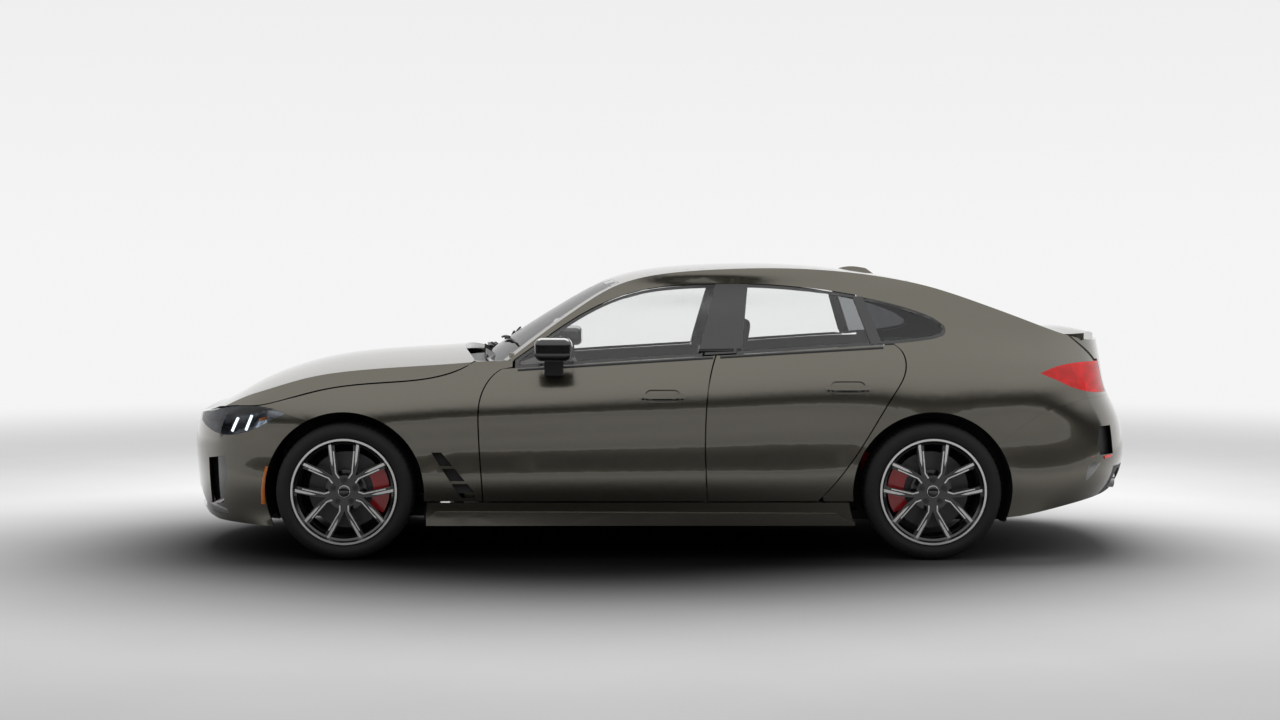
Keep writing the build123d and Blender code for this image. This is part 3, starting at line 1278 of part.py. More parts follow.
with BuildPart() as rear_bench:
    add(across(BENCH_SIDE, -BENCH_HALF, BENCH_HALF))

with BuildPart() as dashboard:
    add(across(DASH_SIDE, -DASH_HALF, DASH_HALF))
    add(side_floor, mode=Mode.INTERSECT)
    add(limits_box(*CONSOLE_X, -CONSOLE_HALF, CONSOLE_HALF, FLOOR_TOP + SEAT_GAP, CONSOLE_TOP))

with BuildPart() as steering_wheel:
    with Locations(Location((STEERING_PLACE[0], -SEAT_Y, STEERING_PLACE[1]), (0, STEERING_TILT, 0))):
        Torus(STEERING_RADIUS, STEERING_GRIP)
        Cylinder(*STEERING_HUB)
        Box(*STEERING_SPOKES)
        Cylinder(*STEERING_COLUMN, align=(Align.CENTER, Align.CENTER, Align.MIN))
    add(dashboard.part, mode=Mode.SUBTRACT)

# Door mirrors, exhaust
with BuildPart() as mirror_left:
    add(limits_box(*MIRROR_X, -MIRROR_Y[1], -MIRROR_Y[0], *MIRROR_Z))
    fillet(mirror_left.edges(), MIRROR_ROUND)
    add(limits_box(*MIRROR_FOOT_X, -MIRROR_FOOT_Y[1], -MIRROR_FOOT_Y[0], *MIRROR_FOOT_Z))
    add(side_outer, mode=Mode.SUBTRACT)
with BuildPart() as mirror_right:
    mirror(mirror_left.part, about=Plane.XZ)

with BuildPart() as exhaust:
    add(limits_box(*SILENCER))
    add(tail_pipes(PIPE_RADIUS))
    add(tail_pipes(PIPE_RADIUS - PIPE_WALL, SILENCER[1]), mode=Mode.SUBTRACT)

with BuildPart() as tyre_front_left:
    add(wheel_at(FRONT_AXLE_X, FRONT_WHEEL_Y, tyre.part))
with BuildPart() as tyre_rear_left:
    add(wheel_at(REAR_AXLE_X, REAR_WHEEL_Y, tyre.part))
with BuildPart() as wheel_front_left:
    add(wheel_at(FRONT_AXLE_X, FRONT_WHEEL_Y, wheel.part))
with BuildPart() as wheel_rear_left:
    add(wheel_at(REAR_AXLE_X, REAR_WHEEL_Y, wheel.part))
with BuildPart() as tyre_front_right:
    mirror(tyre_front_left.part, about=Plane.XZ)
with BuildPart() as tyre_rear_right:
    mirror(tyre_rear_left.part, about=Plane.XZ)
with BuildPart() as wheel_front_right:
    mirror(wheel_front_left.part, about=Plane.XZ)
with BuildPart() as wheel_rear_right:
    mirror(wheel_rear_left.part, about=Plane.XZ)
with BuildPart() as front_wings:
    add(wing_left.part)
    mirror(wing_left.part, about=Plane.XZ)

os.makedirs("parts", exist_ok=True)
NODES = {
    "bonnet": bonnet,
    "front_wings": front_wings,
    "front_bumper": front_bumper,
    "headlamps": headlamps,
    "grille": grille,
    "door_front_left": door_front_left,
    "door_rear_left": door_rear_left,
    "door_front_right": door_front_right,
    "door_rear_right": door_rear_right,
    "glass_front_left": glass_front_left,
    "glass_rear_left": glass_rear_left,
    "glass_front_right": glass_front_right,
    "glass_rear_right": glass_rear_right,
    "quarter_glass": quarter_glass,
    "windscreen": windscreen,
    "roof": roof,
    "cowl": cowl,
    "tailgate": tailgate,
    "rear_window": rear_window,
    "spoiler": spoiler,
    "tail_lamps": tail_lamps,
    "rear_bumper": rear_bumper,
    "rear_diffuser": rear_diffuser,
    "body_side_left": body_side_left,
    "body_side_right": body_side_right,
    "mirror_left": mirror_left,
    "mirror_right": mirror_right,
    "underbody": underbody,
    "engine": engine,
    "front_seats": front_seats,
    "rear_bench": rear_bench,
    "dashboard": dashboard,
    "steering_wheel": steering_wheel,
    "front_suspension": front_suspension,
    "rear_suspension": rear_suspension,
    "knuckle_left": knuckle_left,
    "knuckle_right": knuckle_right,
    "exhaust": exhaust,
    "tyre_front_left": tyre_front_left,
    "tyre_front_right": tyre_front_right,
    "tyre_rear_left": tyre_rear_left,
    "tyre_rear_right": tyre_rear_right,
    "wheel_front_left": wheel_front_left,
    "wheel_front_right": wheel_front_right,
    "wheel_rear_left": wheel_rear_left,
    "wheel_rear_right": wheel_rear_right,
}
for name, node in NODES.items():
    node.part.label = name
    export_step(node.part, "parts/" + name + ".step")
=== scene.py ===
import math

import bmesh
import bpy
import numpy as np
from mathutils import Matrix, Vector
from mathutils.bvhtree import BVHTree


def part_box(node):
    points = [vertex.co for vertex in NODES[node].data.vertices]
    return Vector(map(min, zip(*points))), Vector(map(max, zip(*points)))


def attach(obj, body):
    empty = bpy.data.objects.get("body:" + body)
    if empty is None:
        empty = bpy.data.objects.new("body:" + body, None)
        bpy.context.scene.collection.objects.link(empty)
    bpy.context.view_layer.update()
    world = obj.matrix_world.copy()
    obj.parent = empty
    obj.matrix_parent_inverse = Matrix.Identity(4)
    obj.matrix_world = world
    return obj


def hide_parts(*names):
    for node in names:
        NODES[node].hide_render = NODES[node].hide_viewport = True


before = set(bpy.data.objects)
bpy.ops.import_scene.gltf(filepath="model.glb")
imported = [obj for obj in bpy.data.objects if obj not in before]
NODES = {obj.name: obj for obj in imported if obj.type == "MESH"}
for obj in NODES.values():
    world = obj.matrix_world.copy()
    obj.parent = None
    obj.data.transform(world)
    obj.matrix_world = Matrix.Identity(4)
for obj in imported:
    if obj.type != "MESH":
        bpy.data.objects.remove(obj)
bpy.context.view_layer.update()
SIDES = {"left": -1, "right": 1}
ENDS = ("front", "rear")
CORNERS = [(end, side) for end in ENDS for side in SIDES]

# Places that pieces share, read from the frame
WHEEL_CENTRES = {}
for end, side in CORNERS:
    low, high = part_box(f"tyre_{end}_{side}")
    WHEEL_CENTRES[end, side] = (low + high) / 2
low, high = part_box("tyre_front_left")
TYRE_RADIUS = (high.z - low.z) / 2


# Materials
NOISE_BAND = (0.3, 0.7)
RELIEF_HEIGHT = 0.001
GLASS_GLOSS = 0.02
GLASS_IOR = 1.5


def link_noise(nodes, links, scale, detail=3.0):
    """Noise over the piece's own coordinates, which ride with it."""
    coords = nodes.new("ShaderNodeTexCoord")
    noise = nodes.new("ShaderNodeTexNoise")
    noise.inputs["Scale"].default_value = scale
    noise.inputs["Detail"].default_value = detail
    links.new(coords.outputs["Object"], noise.inputs["Vector"])
    return noise


def material(name, color, rough, grain=300.0, spread=0.08, bump=0.05, **sockets):
    """A surface whose colour, gloss and relief vary with noise of the given grain per metre."""
    made = bpy.data.materials.new(name)
    made.use_nodes = True
    nodes = made.node_tree.nodes
    links = made.node_tree.links
    shader = nodes["Principled BSDF"]
    noise = link_noise(nodes, links, grain)
    ramp = nodes.new("ShaderNodeValToRGB")
    for stop, place, share in zip(ramp.color_ramp.elements, NOISE_BAND, (1 - spread, 1 + spread)):
        stop.position = place
        stop.color = (*(c * share for c in color), 1)
    links.new(noise.outputs["Fac"], ramp.inputs["Fac"])
    links.new(ramp.outputs["Color"], shader.inputs["Base Color"])
    gloss = nodes.new("ShaderNodeMapRange")
    gloss.inputs["To Min"].default_value = rough * (1 - spread)
    gloss.inputs["To Max"].default_value = rough * (1 + spread)
    links.new(noise.outputs["Fac"], gloss.inputs["Value"])
    links.new(gloss.outputs["Result"], shader.inputs["Roughness"])
    relief = nodes.new("ShaderNodeBump")
    relief.inputs["Strength"].default_value = bump
    relief.inputs["Distance"].default_value = RELIEF_HEIGHT
    links.new(noise.outputs["Fac"], relief.inputs["Height"])
    links.new(relief.outputs["Normal"], shader.inputs["Normal"])
    for socket, value in sockets.items():
        shader.inputs[socket.replace("_", " ")].default_value = value
    return made


def see_through(name, tint, grain=4.0, spread=0.03):
    """Clear glass: what is behind it, tinted, under a reflection that grows towards a glancing view."""
    made = bpy.data.materials.new(name)
    made.use_nodes = True
    nodes = made.node_tree.nodes
    links = made.node_tree.links
    nodes.remove(nodes["Principled BSDF"])
    noise = link_noise(nodes, links, grain)
    ramp = nodes.new("ShaderNodeValToRGB")
    for stop, share in zip(ramp.color_ramp.elements, (1 - spread, 1 + spread)):
        stop.color = (*(c * share for c in tint), 1)
    links.new(noise.outputs["Fac"], ramp.inputs["Fac"])
    clear = nodes.new("ShaderNodeBsdfTransparent")
    links.new(ramp.outputs["Color"], clear.inputs["Color"])
    shine = nodes.new("ShaderNodeBsdfGlossy")
    shine.inputs["Roughness"].default_value = GLASS_GLOSS
    edge = nodes.new("ShaderNodeFresnel")
    edge.inputs["IOR"].default_value = GLASS_IOR
    both = nodes.new("ShaderNodeMixShader")
    links.new(edge.outputs["Fac"], both.inputs["Fac"])
    links.new(clear.outputs[0], both.inputs[1])
    links.new(shine.outputs[0], both.inputs[2])
    links.new(both.outputs[0], nodes["Material Output"].inputs["Surface"])
    return made


PAINT = material("paint", (0.14, 0.129, 0.103), 0.22, 1800.0, 0.16, 0.0, Metallic=0.85, Coat_Weight=1.0,
                 Coat_Roughness=0.03)
GLASS = see_through("glass", (0.985, 0.99, 0.988), spread=0.01)
DARK_GLASS = see_through("dark_glass", (0.5, 0.51, 0.52), spread=0.02)
LENS = see_through("lens", (0.93, 0.94, 0.95))
RED_LENS = see_through("red_lens", (0.85, 0.1, 0.08))
# Red optics with a faint painted glow: the emission stands in for light caught in the red of the tail lamps and
# reflectors
RED_PAINTED_GLOW = material("red_painted_glow", (0.8, 0.05, 0.04), 0.2, 24.0, 0.35, 0.3,
                     Emission_Color=(0.9, 0.05, 0.035, 1), Emission_Strength=0.3)
HEAD_OPTIC = material("head_optic", (0.36, 0.38, 0.42), 0.22, 90.0, 0.3, 0.3, Metallic=1.0)
DAY_LAMP = material("day_lamp", (0.9, 0.95, 1.0), 0.3, 200.0, 0.04, 0.02,
                    Emission_Color=(0.8, 0.9, 1.0, 1), Emission_Strength=1.6)
PLASTIC = material("plastic", (0.018, 0.018, 0.019), 0.5, 1500.0, 0.2, 0.3)
GLOSS_BLACK = material("gloss_black", (0.01, 0.01, 0.011), 0.12, 40.0, 0.15, 0.02, Coat_Weight=1.0)
UNDERSIDE = material("underside", (0.022, 0.022, 0.022), 0.8, 80.0, 0.25, 0.4)
ENGINE = material("engine", (0.06, 0.06, 0.062), 0.55, 120.0, 0.25, 0.3)
TRIM = material("trim", (0.022, 0.021, 0.02), 0.6, 900.0, 0.2, 0.4)
HEADLINER = material("headliner", (0.05, 0.05, 0.05), 0.9, 1200.0, 0.15, 0.4)
LEATHER = material("leather", (0.018, 0.017, 0.017), 0.48, 420.0, 0.2, 0.5)
STEEL = material("steel", (0.32, 0.32, 0.33), 0.38, 700.0, 0.15, 0.15, Metallic=1.0)
DARK_STEEL = material("dark_steel", (0.06, 0.06, 0.062), 0.5, 200.0, 0.2, 0.2, Metallic=0.7)
DISC = material("disc", (0.1, 0.1, 0.102), 0.45, 500.0, 0.15, 0.1, Metallic=0.8)
CHROME = material("chrome", (0.6, 0.6, 0.61), 0.15, 300.0, 0.05, 0.02, Metallic=1.0)
RUBBER = material("rubber", (0.01, 0.01, 0.01), 0.75, 600.0, 0.2, 0.35)
MACHINED = material("machined", (0.88, 0.87, 0.86), 0.45, 900.0, 0.06, 0.05, Metallic=1.0)
WHEEL_BLACK = material("wheel_black", (0.014, 0.014, 0.015), 0.18, 400.0, 0.15, 0.03, Coat_Weight=0.7)
CALIPER_RED = material("caliper_red", (0.75, 0.014, 0.024), 0.3, 500.0, 0.12, 0.1, Coat_Weight=0.6)
AMBER = material("amber", (0.75, 0.2, 0.012), 0.15, 120.0, 0.1, 0.05, Coat_Weight=0.8)
MIRROR = material("mirror_glass", (0.85, 0.86, 0.88), 0.03, 20.0, 0.02, 0.0, Metallic=1.0)
SEAM = material("seam", (0.05, 0.048, 0.046), 0.6, 800.0, 0.2, 0.4)
CARPET = material("carpet", (0.02, 0.02, 0.021), 0.95, 700.0, 0.3, 0.8)
SATIN = material("satin", (0.3, 0.3, 0.3), 0.35, 500.0, 0.08, 0.03, Metallic=0.9)
PLATE = material("plate", (0.72, 0.72, 0.7), 0.4, 60.0, 0.04, 0.05, Coat_Weight=0.4)
DISPLAY = material("display", (0.006, 0.007, 0.009), 0.08, 30.0, 0.2, 0.0, Coat_Weight=1.0)

NODE_MATERIALS = {
    "bonnet": PAINT, "front_wings": PAINT, "front_bumper": PAINT, "headlamps": LENS, "grille": GLOSS_BLACK,
    "door_front_left": PAINT, "door_front_right": PAINT, "door_rear_left": PAINT, "door_rear_right": PAINT,
    "glass_front_left": GLASS, "glass_front_right": GLASS, "glass_rear_left": GLASS, "glass_rear_right": GLASS,
    "quarter_glass": DARK_GLASS, "windscreen": GLASS, "rear_window": GLASS, "roof": PAINT, "cowl": PLASTIC,
    "tailgate": PAINT, "spoiler": PAINT, "tail_lamps": RED_LENS, "rear_bumper": PAINT, "rear_diffuser": PLASTIC,
    "body_side_left": PAINT, "body_side_right": PAINT, "mirror_left": GLOSS_BLACK, "mirror_right": GLOSS_BLACK,
    "underbody": UNDERSIDE, "engine": ENGINE, "front_seats": LEATHER, "rear_bench": LEATHER, "dashboard": TRIM,
    "steering_wheel": LEATHER, "front_suspension": DARK_STEEL, "rear_suspension": DARK_STEEL,
    "knuckle_left": DARK_STEEL, "knuckle_right": DARK_STEEL, "exhaust": STEEL,
}
for end, side in CORNERS:
    NODE_MATERIALS[f"tyre_{end}_{side}"] = RUBBER
    NODE_MATERIALS[f"wheel_{end}_{side}"] = WHEEL_BLACK
for node, look in NODE_MATERIALS.items():
    mesh = NODES[node].data
    mesh.materials.clear()
    mesh.materials.append(look)


def paint_faces(node, look, test):
    """Gives another material to the faces of a node whose centre and normal pass the test."""
    mesh = NODES[node].data
    mesh.materials.append(look)
    index = len(mesh.materials) - 1
    for face in mesh.polygons:
        if test(face.center, face.normal):
            face.material_index = index


# Inner faces of the body panels
INNER_TURN = 0.35
for side, sign in SIDES.items():
    for end in ENDS:
        paint_faces(f"door_{end}_{side}", TRIM, lambda c, n: n.y * sign < -INNER_TURN)
    paint_faces(f"body_side_{side}", TRIM, lambda c, n: n.y * sign < -INNER_TURN)
paint_faces("roof", HEADLINER, lambda c, n: n.z < -INNER_TURN)
for node in ("bonnet", "tailgate"):
    paint_faces(node, UNDERSIDE, lambda c, n: n.z < -INNER_TURN)
for node in ("front_bumper", "rear_bumper"):
    paint_faces(node, UNDERSIDE, lambda c, n: n.dot(Vector((c.x, c.y, 0))) < 0)

# Dark edges of the panes, and the pillars between them
WINDSCREEN_OUTWARD = (-0.5, 0, 0.85)
REAR_WINDOW_OUTWARD = (0.35, 0, 0.94)
PANES = {"windscreen": WINDSCREEN_OUTWARD, "rear_window": REAR_WINDOW_OUTWARD, "quarter_glass": (0, 1, 0)}
PANES.update({f"glass_{end}_{side}": (0, 1, 0) for end, side in CORNERS})
EDGE_TURN = 0.55
for node, outward in PANES.items():
    outward = Vector(outward).normalized()
    paint_faces(node, RUBBER, lambda c, n: abs(n.dot(outward)) < EDGE_TURN)
# Each zone goes from start to stop along X and from foot to head along Z
PILLAR_ZONES = ((0.16, 0.45, 0.975, 1.338), (0.95, 1.07, 1.03, 1.262))
for side in SIDES:
    for start, stop, foot, head in PILLAR_ZONES:
        paint_faces(f"body_side_{side}", GLOSS_BLACK, lambda c, n: start < c.x < stop and foot < c.z < head)

# Mirror glass and bright pipe ends
MIRROR_TURN = 0.8
MIRROR_FOOT = 0.97
PIPE_END = 2.15
for side in SIDES:
    paint_faces(f"mirror_{side}", MIRROR, lambda c, n: n.x > MIRROR_TURN and c.z > MIRROR_FOOT)
paint_faces("exhaust", CHROME, lambda c, n: c.x > PIPE_END)

# Lamp housings behind the lenses; the tail lamps' housings get a red material with a painted glow
LAMP_OUTWARD = {"headlamps": (-0.75, 0.6, 0.25), "tail_lamps": (0.6, 0.8, 0.1)}
LAMP_OPTICS = {"headlamps": HEAD_OPTIC, "tail_lamps": RED_PAINTED_GLOW}
HOUSING_TURN = 0.2
for node, (along, across, up) in LAMP_OUTWARD.items():

    def behind_lens(c, n):
        return n.dot(Vector((along, math.copysign(across, c.y), up))) < HOUSING_TURN

    paint_faces(node, LAMP_OPTICS[node], behind_lens)


def axle_reach(centre, place):
    """How far a place is from the axle through a wheel's centre."""
    return math.hypot(place.x - centre.x, place.z - centre.z)


# Wheels: machined outer faces and the brake discs
MACHINED_TURN = 0.9
FACE_DEPTH = 0.0155
FACE_INNER = 0.06
DISC_REACH = 0.19
DISC_FACE = 0.001
for end, side in CORNERS:
    centre = WHEEL_CENTRES[end, side]
    sign = SIDES[side]
    outer = max(v.co.y * sign for v in NODES[f"wheel_{end}_{side}"].data.vertices)

    def on_disc(c, n):
        return axle_reach(centre, c) < DISC_REACH and (c.y - centre.y) * sign < DISC_FACE

    def on_face(c, n):
        shallow = c.y * sign > outer - FACE_DEPTH
        return n.y * sign > MACHINED_TURN and shallow and axle_reach(centre, c) > FACE_INNER

    paint_faces(f"wheel_{end}_{side}", DISC, on_disc)
    paint_faces(f"wheel_{end}_{side}", MACHINED, on_face)

# Brake calipers
CALIPER_INNER = 0.128
CALIPER_HALF = 0.09
for end, side in CORNERS:
    centre = WHEEL_CENTRES[end, side]

    def on_caliper(c, n):
        return axle_reach(centre, c) > CALIPER_INNER and abs(c.y - centre.y) < CALIPER_HALF

    paint_faces(f"knuckle_{side}" if end == "front" else "rear_suspension", CALIPER_RED, on_caliper)


# Pieces
def piece(name, points, faces, body, look, smooth=True):
    """A mesh piece that rides on a body."""
    mesh = bpy.data.meshes.new(name)
    mesh.from_pydata([tuple(p) for p in points], [], faces)
    mesh.validate()
    mesh.materials.append(look)
    for face in mesh.polygons:
        face.use_smooth = smooth
    made = bpy.data.objects.new(name, mesh)
    bpy.context.scene.collection.objects.link(made)
    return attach(made, body)


def grid_faces(rows, columns, closed_rows=False, closed_columns=False):
    """Quads of a grid of points stored row by row."""
    faces = []
    for i in range(rows if closed_rows else rows - 1):
        for j in range(columns if closed_columns else columns - 1):
            a, b = i * columns + j, i * columns + (j + 1) % columns
            c, d = (i + 1) % rows * columns + (j + 1) % columns, (i + 1) % rows * columns + j
            faces.append((a, b, c, d))
    return faces


def joined(name, parts, body, look, smooth=True):
    """One piece from several (points, faces) meshes."""
    points, faces = [], []
    for part_points, part_faces in parts:
        start = len(points)
        points += list(part_points)
        faces += [tuple(start + i for i in face) for face in part_faces]
    return piece(name, points, faces, body, look, smooth)


THIN_SIDES = 8


def tube(path, radius, around=12):
    """Points and faces of a closed round tube along a path."""
    path = [Vector(p) for p in path]
    points = []
    for i, here in enumerate(path):
        along = (path[min(i + 1, len(path) - 1)] - path[max(i - 1, 0)]).normalized()
        side = along.orthogonal().normalized()
        up = along.cross(side)
        for k in range(around):
            turn = 2 * math.pi * k / around
            points.append(here + (side * math.cos(turn) + up * math.sin(turn)) * radius)
    faces = grid_faces(len(path), around, closed_columns=True)
    faces.append(tuple(range(around))[::-1])
    faces.append(tuple(range(len(points) - around, len(points))))
    return points, faces


def turned(profile, centre, axis, around=32):
    """Points and faces of a closed form turned about an axis, from (radius, distance along) pairs."""
    centre, axis = Vector(centre), Vector(axis).normalized()
    side = axis.orthogonal().normalized()
    up = axis.cross(side)
    points = []
    for k in range(around):
        turn = 2 * math.pi * k / around
        out = side * math.cos(turn) + up * math.sin(turn)
        points += [centre + out * radius + axis * along for radius, along in profile]
    faces = grid_faces(around, len(profile), closed_rows=True)
    return points, faces


def skin(*names):
    """A search tree over the faces of CAD nodes."""
    points, faces = [], []
    for name in names:
        mesh = NODES[name].data
        start = len(points)
        points += [v.co.copy() for v in mesh.vertices]
        faces += [[start + i for i in face.vertices] for face in mesh.polygons]
    return BVHTree.FromPolygons(points, faces)


# Rays that look for a skin start this far from the car's middle
OUTSIDE = 3.0


def on_side(tree, x, z, sign, lift=0.0):
    """The point of a skin seen from one side at x and z, lifted off it."""
    place, normal = tree.ray_cast(Vector((x, sign * OUTSIDE, z)), Vector((0, -sign, 0)))[:2]
    if place is None:
        place, normal = tree.find_nearest(Vector((x, sign, z)))[:2]
    if normal.y * sign < 0:
        normal = -normal
    return place + normal * lift


def between(a, b, share):
    """The value at a share of the way from a to b."""
    return a + (b - a) * share


def side_panel(name, tree, corners, sign, lift, rows, columns):
    """A thin satin cover on a side skin between four (x, z) corners, with its rim turned in to the skin."""
    low_start, low_end, high_end, high_start = (np.array(c) for c in corners)
    points = []
    for i in range(rows + 1):
        for j in range(columns + 1):
            start = between(low_start, high_start, i / rows)
            end = between(low_end, high_end, i / rows)
            x, z = between(start, end, j / columns)
            rim = i in (0, rows) or j in (0, columns)
            points.append(on_side(tree, x, z, sign, 0.0 if rim else lift))
    return piece(name, points, grid_faces(rows + 1, columns + 1), "body", SATIN)


# Section of a strip: shares of its width across and of its lift
STRIP_SECTION = ((-0.5, 0.0), (-0.36, 0.8), (0.0, 1.0), (0.36, 0.8), (0.5, 0.0))


def side_strip(name, tree, path, width, sign, lift, body, look):
    """A rounded strip on a side skin along a path of (x, z) points."""
    path = [np.array(p) for p in path]
    points = []
    for i, here in enumerate(path):
        along = path[min(i + 1, len(path) - 1)] - path[max(i - 1, 0)]
        across = np.array((-along[1], along[0])) / np.linalg.norm(along)
        for share, rise in STRIP_SECTION:
            x, z = here + across * width * share
            points.append(on_side(tree, x, z, sign, lift * rise))
    return piece(name, points, grid_faces(len(path), len(STRIP_SECTION)), body, look)


# A face looks a way when its normal has this share along it; points are matched to a tenth of a millimetre
FACING = 0.5
MATCHES_PER_METRE = 1e4


def rim_loop(node, outward, half=None):
    """The ordered rim of the faces of a node that look outward, on one half of the car if asked."""
    outward = Vector(outward)
    mesh = NODES[node].data
    places, seen, count = {}, {}, {}
    for face in mesh.polygons:
        if face.normal.dot(outward) < FACING or (half and face.center.y * half < 0):
            continue
        keys = []
        for i in face.vertices:
            key = tuple(round(c * MATCHES_PER_METRE) for c in mesh.vertices[i].co)
            places[key] = mesh.vertices[i].co.copy()
            keys.append(key)
        for a, b in zip(keys, keys[1:] + keys[:1]):
            count[frozenset((a, b))] = count.get(frozenset((a, b)), 0) + 1
            seen[a, b] = True
    following = {a: b for a, b in seen if count[frozenset((a, b))] == 1 and a != b}
    start = here = next(iter(following))
    loop = []
    while here in following:
        loop.append(places[here])
        here = following.pop(here)
        if here == start:
            break
    return loop


BORDER_LIFT = 0.0012


def pane_border(name, node, outward, width, body, half=None):
    """A dark printed border round a pane, on its outer face."""
    tree = skin(node)
    loop = rim_loop(node, outward, half)
    points = []
    for i, here in enumerate(loop):
        along = loop[(i + 1) % len(loop)] - loop[i - 1]
        normal = tree.find_nearest(here)[1]
        if normal.dot(Vector(outward)) < FACING:
            normal = Vector(outward).normalized()
        inward = normal.cross(along).normalized()
        points.append(here + normal * BORDER_LIFT)
        points.append(here + inward * width + normal * BORDER_LIFT)
    return piece(name, points, grid_faces(len(loop), 2, closed_rows=True), body, GLOSS_BLACK)


# Tyres with grooves round the tread and slots across its shoulders
TREAD_STEPS = 288
GROOVES = (0.052, 0.018, -0.018, -0.052)
GROOVE_WIDTH = 0.009
GROOVE_DEPTH = 0.007
GROOVE_FLOOR = 0.7 * GROOVE_WIDTH
SLOT_EVERY = 4
SLOT_DEPTH = 0.0049
SLOT_RUN_OUT = 0.6
# Radius and offset across of the side wall, and drop and offset across of the shoulder
TYRE_WALL = ((0.2575, 0.1085), (0.264, 0.1125), (0.272, 0.117), (0.276, 0.1178), (0.284, 0.1218),
             (0.296, 0.1218), (0.306, 0.119), (0.316, 0.1135), (0.3235, 0.107), (0.329, 0.099))
TYRE_SHOULDER = ((0.0025, 0.093), (0.0008, 0.083))


def tyre_profile():
    """Radius, offset across and slot share of the section, from one bead round to the other."""
    half = [(radius, across, 0.0) for radius, across in TYRE_WALL]
    half += [(TYRE_RADIUS - drop, across, 1.0) for drop, across in TYRE_SHOULDER]
    floor = TYRE_RADIUS - GROOVE_DEPTH
    tread = []
    for groove in GROOVES:
        first = SLOT_RUN_OUT if groove == GROOVES[0] else 0.0
        last = SLOT_RUN_OUT if groove == GROOVES[-1] else 0.0
        tread += [(TYRE_RADIUS, groove + GROOVE_WIDTH / 2, first), (floor, groove + GROOVE_FLOOR / 2, 0.0)]
        tread += [(floor, groove - GROOVE_FLOOR / 2, 0.0), (TYRE_RADIUS, groove - GROOVE_WIDTH / 2, last)]
    return half + tread + [(radius, -across, share) for radius, across, share in reversed(half)]


PROFILE = tyre_profile()
for end, side in CORNERS:
    centre = WHEEL_CENTRES[end, side]
    points = []
    for step in range(TREAD_STEPS):
        angle = 2 * math.pi * step / TREAD_STEPS
        depth = SLOT_DEPTH if step % SLOT_EVERY == 0 else 0.0
        for radius, across, share in PROFILE:
            reach = radius - share * depth
            x, z = centre.x + reach * math.sin(angle), centre.z + reach * math.cos(angle)
            points.append((x, centre.y + across, z))
    faces = grid_faces(TREAD_STEPS, len(PROFILE), closed_rows=True, closed_columns=True)
    made = piece(f"tread_{end}_{side}", points, faces, f"wheel_{end}_{side}", RUBBER)
    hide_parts(f"tyre_{end}_{side}")

# Printed borders of the panes
SIDE_BORDER = 0.016
LARGE_BORDER = 0.05
SIDE_LEAN = 0.3
for side, sign in SIDES.items():
    outward = (0, sign, SIDE_LEAN)
    for end in ENDS:
        pane_border(f"border_{end}_{side}", f"glass_{end}_{side}", outward, SIDE_BORDER, f"door_{end}_{side}")
    pane_border(f"border_quarter_{side}", "quarter_glass", outward, SIDE_BORDER, "body", sign)
pane_border("border_windscreen", "windscreen", WINDSCREEN_OUTWARD, LARGE_BORDER, "body")
pane_border("border_rear_window", "rear_window", REAR_WINDOW_OUTWARD, LARGE_BORDER, "tailgate")

# Dark covers on the pillars between the side windows
PILLARS = {
    "pillar_b": ((0.214, 0.985), (0.368, 0.99), (0.41, 1.338), (0.31, 1.338)),
    "pillar_c": ((1.054, 1.045), (1.064, 1.05), (0.982, 1.276), (0.974, 1.278)),
}
PILLAR_REACH = {"pillar_b": 0.03, "pillar_c": 0.022}
PILLAR_LIFT = 0.0015
PILLAR_ROWS = 16
# Shares of the width at which a cover takes its depth from the skin
PILLAR_SPOTS = (0.3, 0.7)
PILLAR_SHARES = (0.0, 0.5, 1.0)
for side, sign in SIDES.items():
    tree = skin(f"body_side_{side}")
    for name, corners in PILLARS.items():
        low_start, low_end, high_end, high_start = (np.array(c) for c in corners)
        reach = PILLAR_REACH[name]
        points = []
        for i in range(PILLAR_ROWS + 1):
            rise = i / PILLAR_ROWS
            first, last = between(low_start, high_start, rise), between(low_end, high_end, rise)
            depths = []
            for share in PILLAR_SPOTS:
                x, z = between(first, last, share)
                depths.append(on_side(tree, x, z, sign, PILLAR_LIFT).y)
            for share in PILLAR_SHARES:
                x = between(first[0] - reach, last[0] + reach, share)
                points.append((x, between(*depths, share), between(first[1], last[1], share)))
        faces = grid_faces(PILLAR_ROWS + 1, len(PILLAR_SHARES))
        piece(f"{name}_{side}", points, faces, "body", GLOSS_BLACK)

# Dark strips along the doors' top edges
BELT = ((-0.768, 0.926), (0.0, 0.974), (0.6, 1.011), (1.15, 1.043))
BELT_STRIPS = {"front": (-0.69, 0.262), "rear": (0.296, 1.09)}
BELT_DROP = 0.009
BELT_WIDTH = 0.014
BELT_LIFT = 0.003
BELT_STEPS = 16
for side, sign in SIDES.items():
    for end, (start, stop) in BELT_STRIPS.items():
        path = [(x, np.interp(x, *zip(*BELT)) - BELT_DROP) for x in np.linspace(start, stop, BELT_STEPS)]
        door = f"door_{end}_{side}"
        side_strip(f"belt_strip_{end}_{side}", skin(door), path, BELT_WIDTH, sign, BELT_LIFT, door, PLASTIC)

